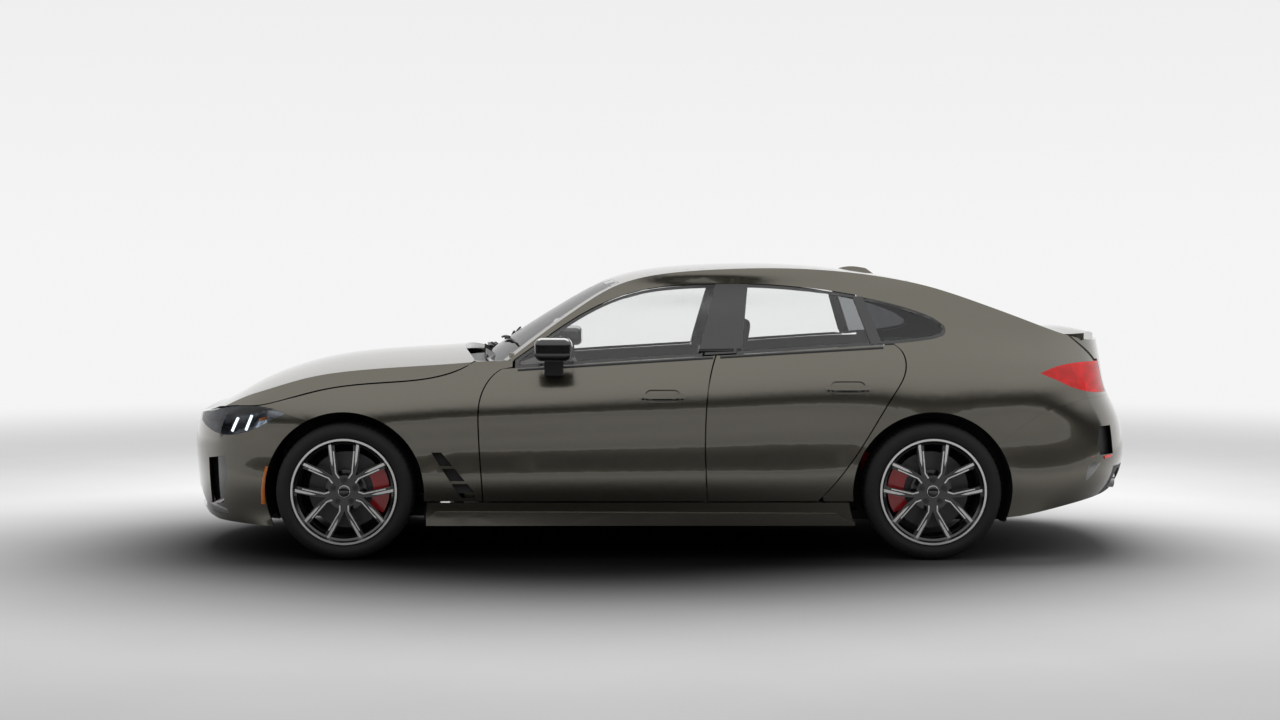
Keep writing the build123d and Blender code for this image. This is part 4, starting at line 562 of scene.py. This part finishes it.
# Day lamps inside the headlamps, and an amber one behind them
DAY_BARS = (((-2.073, 0.691), (-2.106, 0.62)), ((-1.995, 0.705), (-2.0255, 0.628)))
DAY_BAR_RADIUS = 0.0065
DAY_BAR_STEPS = 5
TURN_BAR = ((-1.95, 0.683), (-1.91, 0.694))
TURN_BAR_RADIUS = 0.008
LAMP_INSET = 0.02
lamp_skin = skin("headlamps")
for side, sign in SIDES.items():
    bars = []
    for start, stop in DAY_BARS:
        steps = [between(np.array(start), np.array(stop), s) for s in np.linspace(0, 1, DAY_BAR_STEPS)]
        bars.append(tube([on_side(lamp_skin, x, z, sign, -LAMP_INSET) for x, z in steps], DAY_BAR_RADIUS))
    joined(f"day_lamp_{side}", bars, "body", DAY_LAMP)
    amber = [on_side(lamp_skin, x, z, sign, -LAMP_INSET) for x, z in TURN_BAR]
    joined(f"turn_lamp_{side}", [tube(amber, TURN_BAR_RADIUS)], "body", AMBER)

# Amber side markers ahead of the front wheels
MARKER = ((-1.902, 0.455), (-1.917, 0.4), (-1.926, 0.34), (-1.929, 0.27))
MARKER_WIDTH = 0.022
LAMP_LIFT = 0.004
bumper_skin = skin("front_bumper")
for side, sign in SIDES.items():
    side_strip(f"side_marker_{side}", bumper_skin, MARKER, MARKER_WIDTH, sign, LAMP_LIFT, "body", AMBER)

# Wheel caps and bolts, turned from (radius, distance along) profiles
HUB_REACH = 0.098
CAP_PROFILE = ((0.0, 0.006), (0.02, 0.006), (0.027, 0.003), (0.03, -0.004))
RING_PROFILE = ((0.0265, 0.0038), (0.029, 0.0045), (0.0305, 0.002), (0.031, -0.004))
BOLT_PROFILE = ((0.0, 0.008), (0.0085, 0.008), (0.0095, 0.006), (0.0095, -0.004))
BOLT_SEAT_PROFILE = ((0.0125, 0.0005), (0.0135, 0.002), (0.0145, 0.0005), (0.015, -0.003))
BOLT_CIRCLE = 0.056
BOLT_COUNT = 5
BOLT_SIDES = 6
BOLT_SEAT_SIDES = 20
for end, side in CORNERS:
    sign = SIDES[side]
    centre = WHEEL_CENTRES[end, side] + Vector((0, sign * HUB_REACH, 0))
    outward = (0, sign, 0)
    cap = turned(CAP_PROFILE, centre, outward)
    joined(f"hub_cap_{end}_{side}", [cap], f"wheel_{end}_{side}", GLOSS_BLACK)
    ring = turned(RING_PROFILE, centre, outward)
    joined(f"hub_ring_{end}_{side}", [ring], f"wheel_{end}_{side}", CHROME)
    bolts = []
    for k in range(BOLT_COUNT):
        turn = 2 * math.pi * k / BOLT_COUNT
        place = centre + Vector((math.sin(turn), 0, math.cos(turn))) * BOLT_CIRCLE
        bolts.append(turned(BOLT_PROFILE, place, outward, BOLT_SIDES))
        bolts.append(turned(BOLT_SEAT_PROFILE, place, outward, BOLT_SEAT_SIDES))
    joined(f"bolts_{end}_{side}", bolts, f"wheel_{end}_{side}", DARK_STEEL, smooth=False)

# Dark linings behind the wing vents and behind the rear wheels
VENT_LINING = ((-1.125, 0.228), (-0.886, 0.228), (-0.886, 0.548), (-1.125, 0.548))
VENT_DEPTH = 0.04
VENT_CELLS = 6
# The arch lining's radius about the axle and distance from the car's middle, and its range of degrees
LINING_PROFILE = ((0.12, 0.612), (0.385, 0.612), (0.397, 0.63), (0.397, 0.8))
LINING_TURNS = (-24, 71, 4)
wing_skin = skin("front_wings")
for side, sign in SIDES.items():
    corners = [on_side(wing_skin, x, z, sign, -VENT_DEPTH) for x, z in VENT_LINING]
    points = []
    for i in range(VENT_CELLS + 1):
        start = between(corners[0], corners[3], i / VENT_CELLS)
        stop = between(corners[1], corners[2], i / VENT_CELLS)
        points += [between(start, stop, j / VENT_CELLS) for j in range(VENT_CELLS + 1)]
    piece(f"vent_lining_{side}", points, grid_faces(VENT_CELLS + 1, VENT_CELLS + 1), "body", UNDERSIDE)
    centre = WHEEL_CENTRES["rear", side]
    points = []
    for turn in range(*LINING_TURNS):
        angle = math.radians(turn)
        for radius, y in LINING_PROFILE:
            x, z = centre.x + radius * math.cos(angle), centre.z + radius * math.sin(angle)
            points.append((x, sign * y, z))
    rows = len(points) // len(LINING_PROFILE)
    piece(f"arch_lining_{side}", points, grid_faces(rows, len(LINING_PROFILE)), "body", UNDERSIDE)

# Painted shade under the handle bars: dark strips on the door skin where the gap under each bar lies in shade
HANDLES = {"front": (0.015, 0.798), "rear": (0.912, 0.839)}
HANDLE_SHADE_HALF = 0.1
HANDLE_SHADE_DROP = 0.012
HANDLE_SHADE_SAG = 0.008
HANDLE_SHADE_WIDTH = 0.011
HANDLE_SHADE_LIFT = 0.0015
HANDLE_SHADE_STEPS = 17
for side, sign in SIDES.items():
    for end, (x, z) in HANDLES.items():
        shares = np.linspace(-1, 1, HANDLE_SHADE_STEPS)
        path = [(x + HANDLE_SHADE_HALF * s, z - HANDLE_SHADE_DROP - HANDLE_SHADE_SAG * (1 - s * s)) for s in shares]
        door = f"door_{end}_{side}"
        name = f"handle_slit_{end}_{side}"
        side_strip(name, skin(door), path, HANDLE_SHADE_WIDTH, sign, HANDLE_SHADE_LIFT, door, GLOSS_BLACK)

# Reflectors in a red material with a painted glow, and bright insets in the bumpers' corners
REFLECTOR = ((2.19, 0.486), (2.215, 0.49), (2.24, 0.495))
REAR_INSET = ((2.085, 0.378), (2.1, 0.38), (2.172, 0.462), (2.1, 0.468))
FRONT_INSET = ((-2.235, 0.2), (-2.125, 0.197), (-2.13, 0.228), (-2.26, 0.262))
REFLECTOR_WIDTH = 0.016
INSET_LIFT = 0.003
REAR_INSET_CELLS = (6, 6)
FRONT_INSET_CELLS = (6, 8)
rear_skin = skin("rear_bumper")
for side, sign in SIDES.items():
    side_strip(f"reflector_{side}", rear_skin, REFLECTOR, REFLECTOR_WIDTH, sign, LAMP_LIFT, "body", RED_PAINTED_GLOW)
    side_panel(f"rear_inset_{side}", rear_skin, REAR_INSET, sign, INSET_LIFT, *REAR_INSET_CELLS)
    side_panel(f"front_inset_{side}", bumper_skin, FRONT_INSET, sign, INSET_LIFT, *FRONT_INSET_CELLS)


# Seats: crowned pads with seams, on shells
CHANNEL_DEPTH = 0.006
CHANNEL_WIDTH = 0.04
CROWN_POWER = 3
END_ROUNDING = 0.1
SIDE_ROUNDING = 0.14


def pad_point(p, half, pull, crown, channels):
    """A place on a cushion, from coordinates of -1 to 1 along, across and through it."""
    rim = max(abs(p[0]), abs(p[1]))
    through = half[2] * p[2] * (1 - crown * rim ** CROWN_POWER)
    if p[2] > 0:
        dips = sum(math.exp(-(((p[0] - c) / CHANNEL_WIDTH) ** 2)) for c in channels)
        through -= CHANNEL_DEPTH * dips * p[2]
    along = half[0] * p[0] * (1 - pull * (1 - p[1] ** 2)) * (1 - END_ROUNDING * (p[2] * p[0] ** 2) ** 2)
    across = half[1] * p[1] * (1 - pull * (1 - p[0] ** 2)) * (1 - SIDE_ROUNDING * (p[2] * p[1] ** 2) ** 2)
    return Vector((along, across, through))


PUFF_FRAMES = 14
PUFF_PRESSURE = 4.0
PUFF_CAP = 0.005
PADS = []


def swell(pads):
    """Swells the cushions in one short cloth run, and caps how far each point moves."""
    scene = bpy.context.scene
    for made in pads:
        cloth = made.modifiers.new("swell", "CLOTH")
        cloth.settings.use_pressure = True
        cloth.settings.uniform_pressure_force = PUFF_PRESSURE
        cloth.settings.effector_weights.gravity = 0
        cloth.point_cache.frame_end = PUFF_FRAMES
    for step in range(1, PUFF_FRAMES + 1):
        scene.frame_set(step)
    graph = bpy.context.evaluated_depsgraph_get()
    ends = [[v.co.copy() for v in made.evaluated_get(graph).data.vertices] for made in pads]
    for made, places in zip(pads, ends):
        made.modifiers.clear()
        for vertex, place in zip(made.data.vertices, places):
            move = place - vertex.co
            if move.length > PUFF_CAP:
                move *= PUFF_CAP / move.length
            vertex.co += move
    scene.frame_set(1)


PAD_CUTS = 13
CHANNEL_CUTS = 31
SEAM_STEPS = 13
SEAM_REACH = 0.965
SEAM_RISE = 0.95
SEAM_RADIUS = 0.0025


def pad(name, centre, size, pitch, body, pull=0.05, crown=0.3, channels=()):
    """A closed leather cushion, its sides pulled in between its corners, with a piped seam round its top."""
    cuts = CHANNEL_CUTS if channels else PAD_CUTS
    form = bmesh.new()
    bmesh.ops.create_cube(form, size=2)
    bmesh.ops.subdivide_edges(form, edges=form.edges[:], cuts=cuts, use_grid_fill=True)
    half = [s / 2 for s in size]
    place = Matrix.Translation(centre) @ Matrix.Rotation(math.radians(pitch), 4, "Y")
    points = [place @ pad_point(v.co, half, pull, crown, channels) for v in form.verts]
    faces = [tuple(v.index for v in face.verts) for face in form.faces]
    form.free()
    made = piece(name, points, faces, body, LEATHER)
    PADS.append(made)
    up = np.linspace(-SEAM_REACH, SEAM_REACH, SEAM_STEPS)
    down = up[::-1]
    rim = [(up[0], s) for s in up] + [(s, up[-1]) for s in up[1:]]
    rim += [(up[-1], s) for s in down[1:]] + [(s, up[0]) for s in down[1:]]
    path = [place @ pad_point((a, b, SEAM_RISE), half, pull, crown, ()) for a, b in rim]
    joined(f"{name}_seam", [tube(path, SEAM_RADIUS, THIN_SIDES)], body, SEAM)
    return made


# Distance from the end and inset of each step of a shell's rounded ends
SHELL_STEPS = ((0.0, 0.012), (0.0048, 0.004), (0.012, 0.0))


def shell(name, profile, middle, half, look):
    """A closed form of the body with the given side profile, its two ends rounded off."""
    profile = [np.array(p) for p in profile]
    core = sum(profile) / len(profile)
    ends = [(middle - half + step, inset) for step, inset in SHELL_STEPS]
    ends += [(middle + half - step, inset) for step, inset in reversed(SHELL_STEPS)]
    points = []
    for y, inset in ends:
        for p in profile:
            away = p - core
            x, z = p - away / np.linalg.norm(away) * inset
            points.append((x, y, z))
    count = len(profile)
    faces = grid_faces(len(ends), count, closed_columns=True)
    faces.append(tuple(range(count))[::-1])
    faces.append(tuple(range(len(points) - count, len(points))))
    return piece(name, points, faces, "body", look, smooth=False)


# Place along X and Z of each pad, and its length, width and thickness
CUSHION = ((-0.035, 0.4), (0.41, 0.3, 0.085))
CUSHION_ROLL = ((-0.035, 0.405), (0.42, 0.098, 0.095))
SEAT_BACK = ((0.29, 0.715), (0.5, 0.3, 0.1))
BACK_ROLL = ((0.285, 0.69), (0.5, 0.098, 0.115))
HEADREST = ((0.413, 1.09), (0.15, 0.262, 0.085))
CUSHION_PITCH = 3
BENCH_PITCH = 4
BACK_PITCH = -73.0
HEADREST_PITCH = -80.0
CUSHION_CHANNELS = (-0.4, 0.0, 0.4)
BENCH_CHANNELS = (-0.35, 0.05, 0.45)
BACK_CHANNELS = (-0.5, -0.1, 0.3)
FIRM = {"pull": 0.03, "crown": 0.25}


def seat_pad(name, spec, y, pitch, **form):
    """A pad of a seat from its place and size, at the given Y."""
    (x, z), size = spec
    return pad(name, (x, y, z), size, pitch, "body", **form)


SEAT_Y = 0.37
ROLL_OFFSET = 0.197
POST = ((0.4, 0.93), (0.407, 1.03))
POST_OFFSET = 0.05
POST_RADIUS = 0.006
SEAT_SHELL = ((-0.215, 0.34), (-0.225, 0.375), (0.2, 0.375), (0.3, 0.47), (0.385, 0.75), (0.428, 0.975),
              (0.434, 0.985), (0.427, 0.86), (0.338, 0.545), (0.285, 0.34))
SEAT_SHELL_HALF = 0.245
SEAT_BASE = ((-0.175, 0.215), (-0.17, 0.345), (0.23, 0.345), (0.235, 0.215))
SEAT_BASE_HALF = 0.175
for side, sign in SIDES.items():
    y = sign * SEAT_Y
    cushion = seat_pad(f"seat_cushion_{side}", CUSHION, y, CUSHION_PITCH, channels=CUSHION_CHANNELS)
    seat_pad(f"seat_back_{side}", SEAT_BACK, y, BACK_PITCH, channels=BACK_CHANNELS)
    for edge in (-1, 1):
        tag = "inner" if edge * sign < 0 else "outer"
        roll_y = y + edge * ROLL_OFFSET
        seat_pad(f"seat_roll_{tag}_{side}", CUSHION_ROLL, roll_y, CUSHION_PITCH, **FIRM)
        seat_pad(f"back_roll_{tag}_{side}", BACK_ROLL, roll_y, BACK_PITCH, **FIRM)
    seat_pad(f"headrest_{side}", HEADREST, y, HEADREST_PITCH)
    posts = [tube([(x, y + off, z) for x, z in POST], POST_RADIUS) for off in (-POST_OFFSET, POST_OFFSET)]
    joined(f"headrest_posts_{side}", posts, "body", CHROME)
    shell(f"seat_shell_{side}", SEAT_SHELL, y, SEAT_SHELL_HALF, TRIM)
    shell(f"seat_base_{side}", SEAT_BASE, y, SEAT_BASE_HALF, PLASTIC)
    if side == "left":
        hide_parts("front_seats")

BENCH_SHELL = ((0.505, 0.215), (0.505, 0.33), (0.6, 0.35), (0.9, 0.34), (0.985, 0.52), (1.1, 0.955),
               (1.125, 0.98), (1.17, 0.957), (1.088, 0.7), (1.012, 0.53), (1.0, 0.215))
BENCH_HALF = 0.585
# Place along Y and width of each seat of the bench
BENCH_SEATS = {"left": (-0.39, 0.38), "middle": (0.0, 0.37), "right": (0.39, 0.38)}
BENCH_CUSHION_PLACE = (0.7, 0.393)
BENCH_CUSHION_LENGTH = 0.38
BENCH_CUSHION_DEPTH = 0.1
BENCH_BACK_PLACE = (1.005, 0.7)
BENCH_BACK_LENGTH = 0.5
BENCH_BACK_DEPTH = 0.09
shell("bench_shell", BENCH_SHELL, 0.0, BENCH_HALF, CARPET)
for tag, (y, width) in BENCH_SEATS.items():
    lower = (BENCH_CUSHION_PLACE, (BENCH_CUSHION_LENGTH, width, BENCH_CUSHION_DEPTH))
    upper = (BENCH_BACK_PLACE, (BENCH_BACK_LENGTH, width, BENCH_BACK_DEPTH))
    cushion = seat_pad(f"bench_cushion_{tag}", lower, y, BENCH_PITCH, channels=BENCH_CHANNELS, **FIRM)
    seat_pad(f"bench_back_{tag}", upper, y, BACK_PITCH, channels=BACK_CHANNELS, **FIRM)
    if tag == "middle":
        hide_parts("rear_bench")


# Cabin trim: display, and arm rests and pulls on the doors
def cast(tree, start, aim, lift):
    """The first point of a skin from a start along a direction, lifted back towards the start."""
    return tree.ray_cast(Vector(start), Vector(aim))[0] - Vector(aim) * lift


dash_skin = skin("dashboard")
DISPLAY_LEFT = -0.56
DISPLAY_RIGHT = 0.1
DISPLAY_COLUMNS = 15
DISPLAY_Y = np.linspace(DISPLAY_LEFT, DISPLAY_RIGHT, DISPLAY_COLUMNS)
DISPLAY_Z = (0.8, 0.805, 0.845, 0.88, 0.885)
# Rays look forward from the cabin; where they miss the dashboard, the display stands at a set place
CABIN_X = 0.3
DISPLAY_X = -0.55
RIM_LIFT = 0.001
DISPLAY_LIFT = 0.006
points = []
for z in DISPLAY_Z:
    for y in DISPLAY_Y:
        rim = z in (DISPLAY_Z[0], DISPLAY_Z[-1]) or y in (DISPLAY_Y[0], DISPLAY_Y[-1])
        found = dash_skin.ray_cast(Vector((CABIN_X, y, z)), Vector((-1, 0, 0)))[0]
        points.append(((found.x if found else DISPLAY_X) + (RIM_LIFT if rim else DISPLAY_LIFT), y, z))
piece("display", points, grid_faces(len(DISPLAY_Z), len(DISPLAY_Y)), "body", DISPLAY)

# Place along X and Z, and length, of each arm rest
ARM_RESTS = {"front": (-0.25, 0.6, 0.36), "rear": (0.62, 0.63, 0.34)}
ARM_REST_DEPTH = 0.022
ARM_REST_HEIGHT = 0.06
ARM_REST_PITCH = 2
ARM_REST_FORM = {"pull": 0.03, "crown": 0.2}
# Place along X from the arm rest's middle and lift off the door of a pull's bow
PULL_BOW = ((-0.09, 0.001), (-0.08, 0.012), (-0.03, 0.014), (0.0, 0.012), (0.01, 0.001))
PULL_RISE = 0.12
PULL_RADIUS = 0.006
for end, side in CORNERS:
    sign = SIDES[side]
    x, z, length = ARM_RESTS[end]
    door = f"door_{end}_{side}"
    tree = skin(door)
    spot = cast(tree, (x, 0, z), (0, sign, 0), ARM_REST_DEPTH)
    size = (length, 2 * ARM_REST_DEPTH, ARM_REST_HEIGHT)
    pad(f"arm_rest_{end}_{side}", spot, size, ARM_REST_PITCH, door, **ARM_REST_FORM)
    bow = [cast(tree, (x + dx, 0, z + PULL_RISE), (0, sign, 0), lift) for dx, lift in PULL_BOW]
    joined(f"pull_{end}_{side}", [tube(bow, PULL_RADIUS)], door, CHROME)

swell(PADS)

# Blank rear plate
PLATE_HALF = 0.26
PLATE_COLUMNS = 13
PLATE_Y = np.linspace(-PLATE_HALF, PLATE_HALF, PLATE_COLUMNS)
PLATE_Z = (0.535, 0.54, 0.585, 0.63, 0.635)
PLATE_LIFT = 0.004
tail_skin = skin("tailgate", "rear_bumper")
points = []
for z in PLATE_Z:
    for y in PLATE_Y:
        rim = z in (PLATE_Z[0], PLATE_Z[-1]) or y in (PLATE_Y[0], PLATE_Y[-1])
        points.append(cast(tail_skin, (OUTSIDE, y, z), (-1, 0, 0), RIM_LIFT if rim else PLATE_LIFT))
piece("plate_rear", points, grid_faces(len(PLATE_Z), len(PLATE_Y)), "body", PLATE)


# Wipers on the windscreen
screen_skin = skin("windscreen", "cowl")


def on_top(tree, x, y, lift):
    """The point of a skin seen from above at x and y, lifted off it."""
    place, normal = tree.ray_cast(Vector((x, y, OUTSIDE)), Vector((0, 0, -1)))[:2]
    return place + normal * math.copysign(lift, normal.z)


# Root and tip of each wiper seen from above, and the share of its length that the arm takes
WIPERS = {"left": ((-0.8, -0.1), (-0.7, -0.62), 0.55), "right": ((-0.8, 0.5), (-0.72, 0.02), 0.5)}
BLADE_START = 0.12
BLADE_LIFT = 0.008
BLADE_RADIUS = 0.005
BLADE_STEPS = 14
ARM_LIFT = 0.02
ARM_RADIUS = 0.006
ARM_STEPS = 8
for side, (root, tip, share) in WIPERS.items():
    root, tip = np.array(root), np.array(tip)
    blade_shares, arm_shares = np.linspace(BLADE_START, 1, BLADE_STEPS), np.linspace(0, share, ARM_STEPS)
    blade = [on_top(screen_skin, *between(root, tip, s), BLADE_LIFT) for s in blade_shares]
    arm = [on_top(screen_skin, *between(root, tip, s), ARM_LIFT) for s in arm_shares]
    tubes = [tube(blade, BLADE_RADIUS, THIN_SIDES), tube(arm, ARM_RADIUS, THIN_SIDES)]
    joined(f"wiper_{side}", tubes, "body", PLASTIC)


# Floor and backdrop, with a painted shadow: a darker oval on the floor below the car
FLOOR_SIZE = 160.0
FLOOR_TONE = 0.84
FLOOR_SHADE = 0.02
SHADE_CENTRE = (-0.4, -0.4)
SHADE_REACH = (3.5, 2.65)
SHADE_BAND = (0.3, 1.3)
HORIZON_TONE = 0.91
SKY_TONES = ((0.0, HORIZON_TONE), (0.2, 0.83), (0.6, 1.0))
BLEND_START = 4.3
BLEND_END = 12.0


def eye_rays(nodes, links):
    """1 for what the camera sees, straight, in a reflection or through glass."""
    rays = nodes.new("ShaderNodeLightPath")
    total = rays.outputs["Is Camera Ray"]
    for name in ("Is Glossy Ray", "Is Transmission Ray"):
        either = nodes.new("ShaderNodeMath")
        either.operation = "MAXIMUM"
        links.new(total, either.inputs[0])
        links.new(rays.outputs[name], either.inputs[1])
        total = either.outputs[0]
    return total


def floor_material():
    """A pale matt floor with a painted shadow, dark in an oval below the car, that turns into the backdrop's
    tone far from it.
    """
    made = material("floor", (FLOOR_TONE,) * 3, 0.6, 1.5, 0.015, 0.0, Specular_IOR_Level=0.0)
    nodes = made.node_tree.nodes
    links = made.node_tree.links
    coords = nodes.new("ShaderNodeTexCoord")

    def faded(vector, band, ends):
        """A smooth step of the distance from the origin."""
        reach = nodes.new("ShaderNodeVectorMath")
        reach.operation = "LENGTH"
        links.new(vector, reach.inputs[0])
        step = nodes.new("ShaderNodeMapRange")
        step.interpolation_type = "SMOOTHSTEP"
        for socket, value in zip(("From Min", "From Max", "To Min", "To Max"), (*band, *ends)):
            step.inputs[socket].default_value = value
        links.new(reach.outputs["Value"], step.inputs["Value"])
        return step

    blend = faded(coords.outputs["Object"], (BLEND_START, BLEND_END), (0.0, 1.0))
    # Painted shadow: the floor's colour darkens in an oval round the place below the car
    oval = nodes.new("ShaderNodeMapping")
    oval.inputs["Location"].default_value = (*(-c / r for c, r in zip(SHADE_CENTRE, SHADE_REACH)), 0)
    oval.inputs["Scale"].default_value = (*(1 / r for r in SHADE_REACH), 0)
    links.new(coords.outputs["Object"], oval.inputs["Vector"])
    shade = faded(oval.outputs["Vector"], SHADE_BAND, (FLOOR_SHADE, 1.0))
    shader = nodes["Principled BSDF"]
    tone = nodes.new("ShaderNodeMix")
    tone.data_type = "RGBA"
    tone.blend_type = "MULTIPLY"
    tone.inputs["Factor"].default_value = 1.0
    links.new(shader.inputs["Base Color"].links[0].from_socket, tone.inputs["A"])
    links.new(shade.outputs["Result"], tone.inputs["B"])
    links.new(tone.outputs["Result"], shader.inputs["Base Color"])
    share = nodes.new("ShaderNodeMath")
    share.operation = "MULTIPLY"
    links.new(blend.outputs["Result"], share.inputs[0])
    links.new(eye_rays(nodes, links), share.inputs[1])
    glow = nodes.new("ShaderNodeEmission")
    glow.inputs["Color"].default_value = (HORIZON_TONE, HORIZON_TONE, HORIZON_TONE, 1)
    both = nodes.new("ShaderNodeMixShader")
    links.new(share.outputs[0], both.inputs["Fac"])
    links.new(shader.outputs[0], both.inputs[1])
    links.new(glow.outputs[0], both.inputs[2])
    links.new(both.outputs[0], nodes["Material Output"].inputs["Surface"])
    return made


bpy.ops.mesh.primitive_plane_add(size=FLOOR_SIZE)
floor = bpy.context.object
floor.name = "floor"
floor.data.materials.append(floor_material())

WORLD_LIGHT = 0.35
world = bpy.data.worlds.new("studio")
bpy.context.scene.world = world
world.use_nodes = True
nodes = world.node_tree.nodes
links = world.node_tree.links
fill = nodes["Background"]
fill.inputs["Color"].default_value = (1, 1, 1, 1)
fill.inputs["Strength"].default_value = WORLD_LIGHT
coords = nodes.new("ShaderNodeTexCoord")
height = nodes.new("ShaderNodeSeparateXYZ")
links.new(coords.outputs["Generated"], height.inputs[0])
sky = nodes.new("ShaderNodeValToRGB")
sky.color_ramp.elements.new(SKY_TONES[1][0])
for stop, (place, tone) in zip(sky.color_ramp.elements, SKY_TONES):
    stop.position = place
    stop.color = (tone, tone, tone, 1)
links.new(height.outputs["Z"], sky.inputs["Fac"])
backdrop = nodes.new("ShaderNodeBackground")
links.new(sky.outputs["Color"], backdrop.inputs["Color"])
both = nodes.new("ShaderNodeMixShader")
links.new(eye_rays(nodes, links), both.inputs["Fac"])
links.new(fill.outputs[0], both.inputs[1])
links.new(backdrop.outputs[0], both.inputs[2])
links.new(both.outputs[0], nodes["World Output"].inputs["Surface"])


# Overhead lamp
LAMP_PLACE = (0, 1.8, 5.5)
LAMP_AIM = (0, 0, 0.3)
LAMP_SIZE = (8.0, 4.0)
LAMP_POWER = 420
lamp = bpy.data.lights.new("overhead", "AREA")
lamp.shape = "RECTANGLE"
lamp.size, lamp.size_y = LAMP_SIZE
lamp.energy = LAMP_POWER
overhead = bpy.data.objects.new("overhead", lamp)
bpy.context.scene.collection.objects.link(overhead)
overhead.location = LAMP_PLACE
overhead.rotation_mode = "QUATERNION"
overhead.rotation_quaternion = (Vector(LAMP_AIM) - Vector(LAMP_PLACE)).to_track_quat("-Z", "Y")

# A dark screen on the camera's side that only reflections see
SCREEN_RADIUS = 14.0
SCREEN_TOP = 8.0
SCREEN_FADE = (1.8, 6.0)
SCREEN_TURNS = (170, 371, 5)


def screen_material():
    """Dark cloth that thins out towards its top edge."""
    made = material("screen", (0.02, 0.02, 0.02), 0.9, 2.0, 0.1, 0.0)
    nodes = made.node_tree.nodes
    links = made.node_tree.links
    coords = nodes.new("ShaderNodeTexCoord")
    height = nodes.new("ShaderNodeSeparateXYZ")
    links.new(coords.outputs["Object"], height.inputs[0])
    fade = nodes.new("ShaderNodeMapRange")
    fade.interpolation_type = "SMOOTHSTEP"
    fade.inputs["From Min"].default_value, fade.inputs["From Max"].default_value = SCREEN_FADE
    links.new(height.outputs["Z"], fade.inputs["Value"])
    clear = nodes.new("ShaderNodeBsdfTransparent")
    both = nodes.new("ShaderNodeMixShader")
    links.new(fade.outputs["Result"], both.inputs["Fac"])
    links.new(nodes["Principled BSDF"].outputs[0], both.inputs[1])
    links.new(clear.outputs[0], both.inputs[2])
    links.new(both.outputs[0], nodes["Material Output"].inputs["Surface"])
    return made


turns = [math.radians(turn) for turn in range(*SCREEN_TURNS)]
rim = [(SCREEN_RADIUS * math.cos(turn), SCREEN_RADIUS * math.sin(turn)) for turn in turns]
points = [(x, y, z) for z in (0, SCREEN_TOP) for x, y in rim]
mesh = bpy.data.meshes.new("screen")
mesh.from_pydata(points, [], grid_faces(2, len(turns)))
mesh.materials.append(screen_material())
screen = bpy.data.objects.new("screen", mesh)
bpy.context.scene.collection.objects.link(screen)
for ray in ("camera", "diffuse", "transmission", "shadow", "volume_scatter"):
    setattr(screen, f"visible_{ray}", False)

# Camera at the photograph's place
CAMERA_PLACE = (-0.0943, -11.04, 1.45)
CAMERA_PITCH = 2.69
CAMERA_LENS = 59.1
camera = bpy.data.objects.new("camera", bpy.data.cameras.new("camera"))
bpy.context.scene.collection.objects.link(camera)
camera.location = CAMERA_PLACE
camera.rotation_euler = (math.radians(90 - CAMERA_PITCH), 0, 0)
camera.data.lens = CAMERA_LENS
bpy.context.scene.camera = camera
bpy.context.scene.view_settings.view_transform = "Standard"
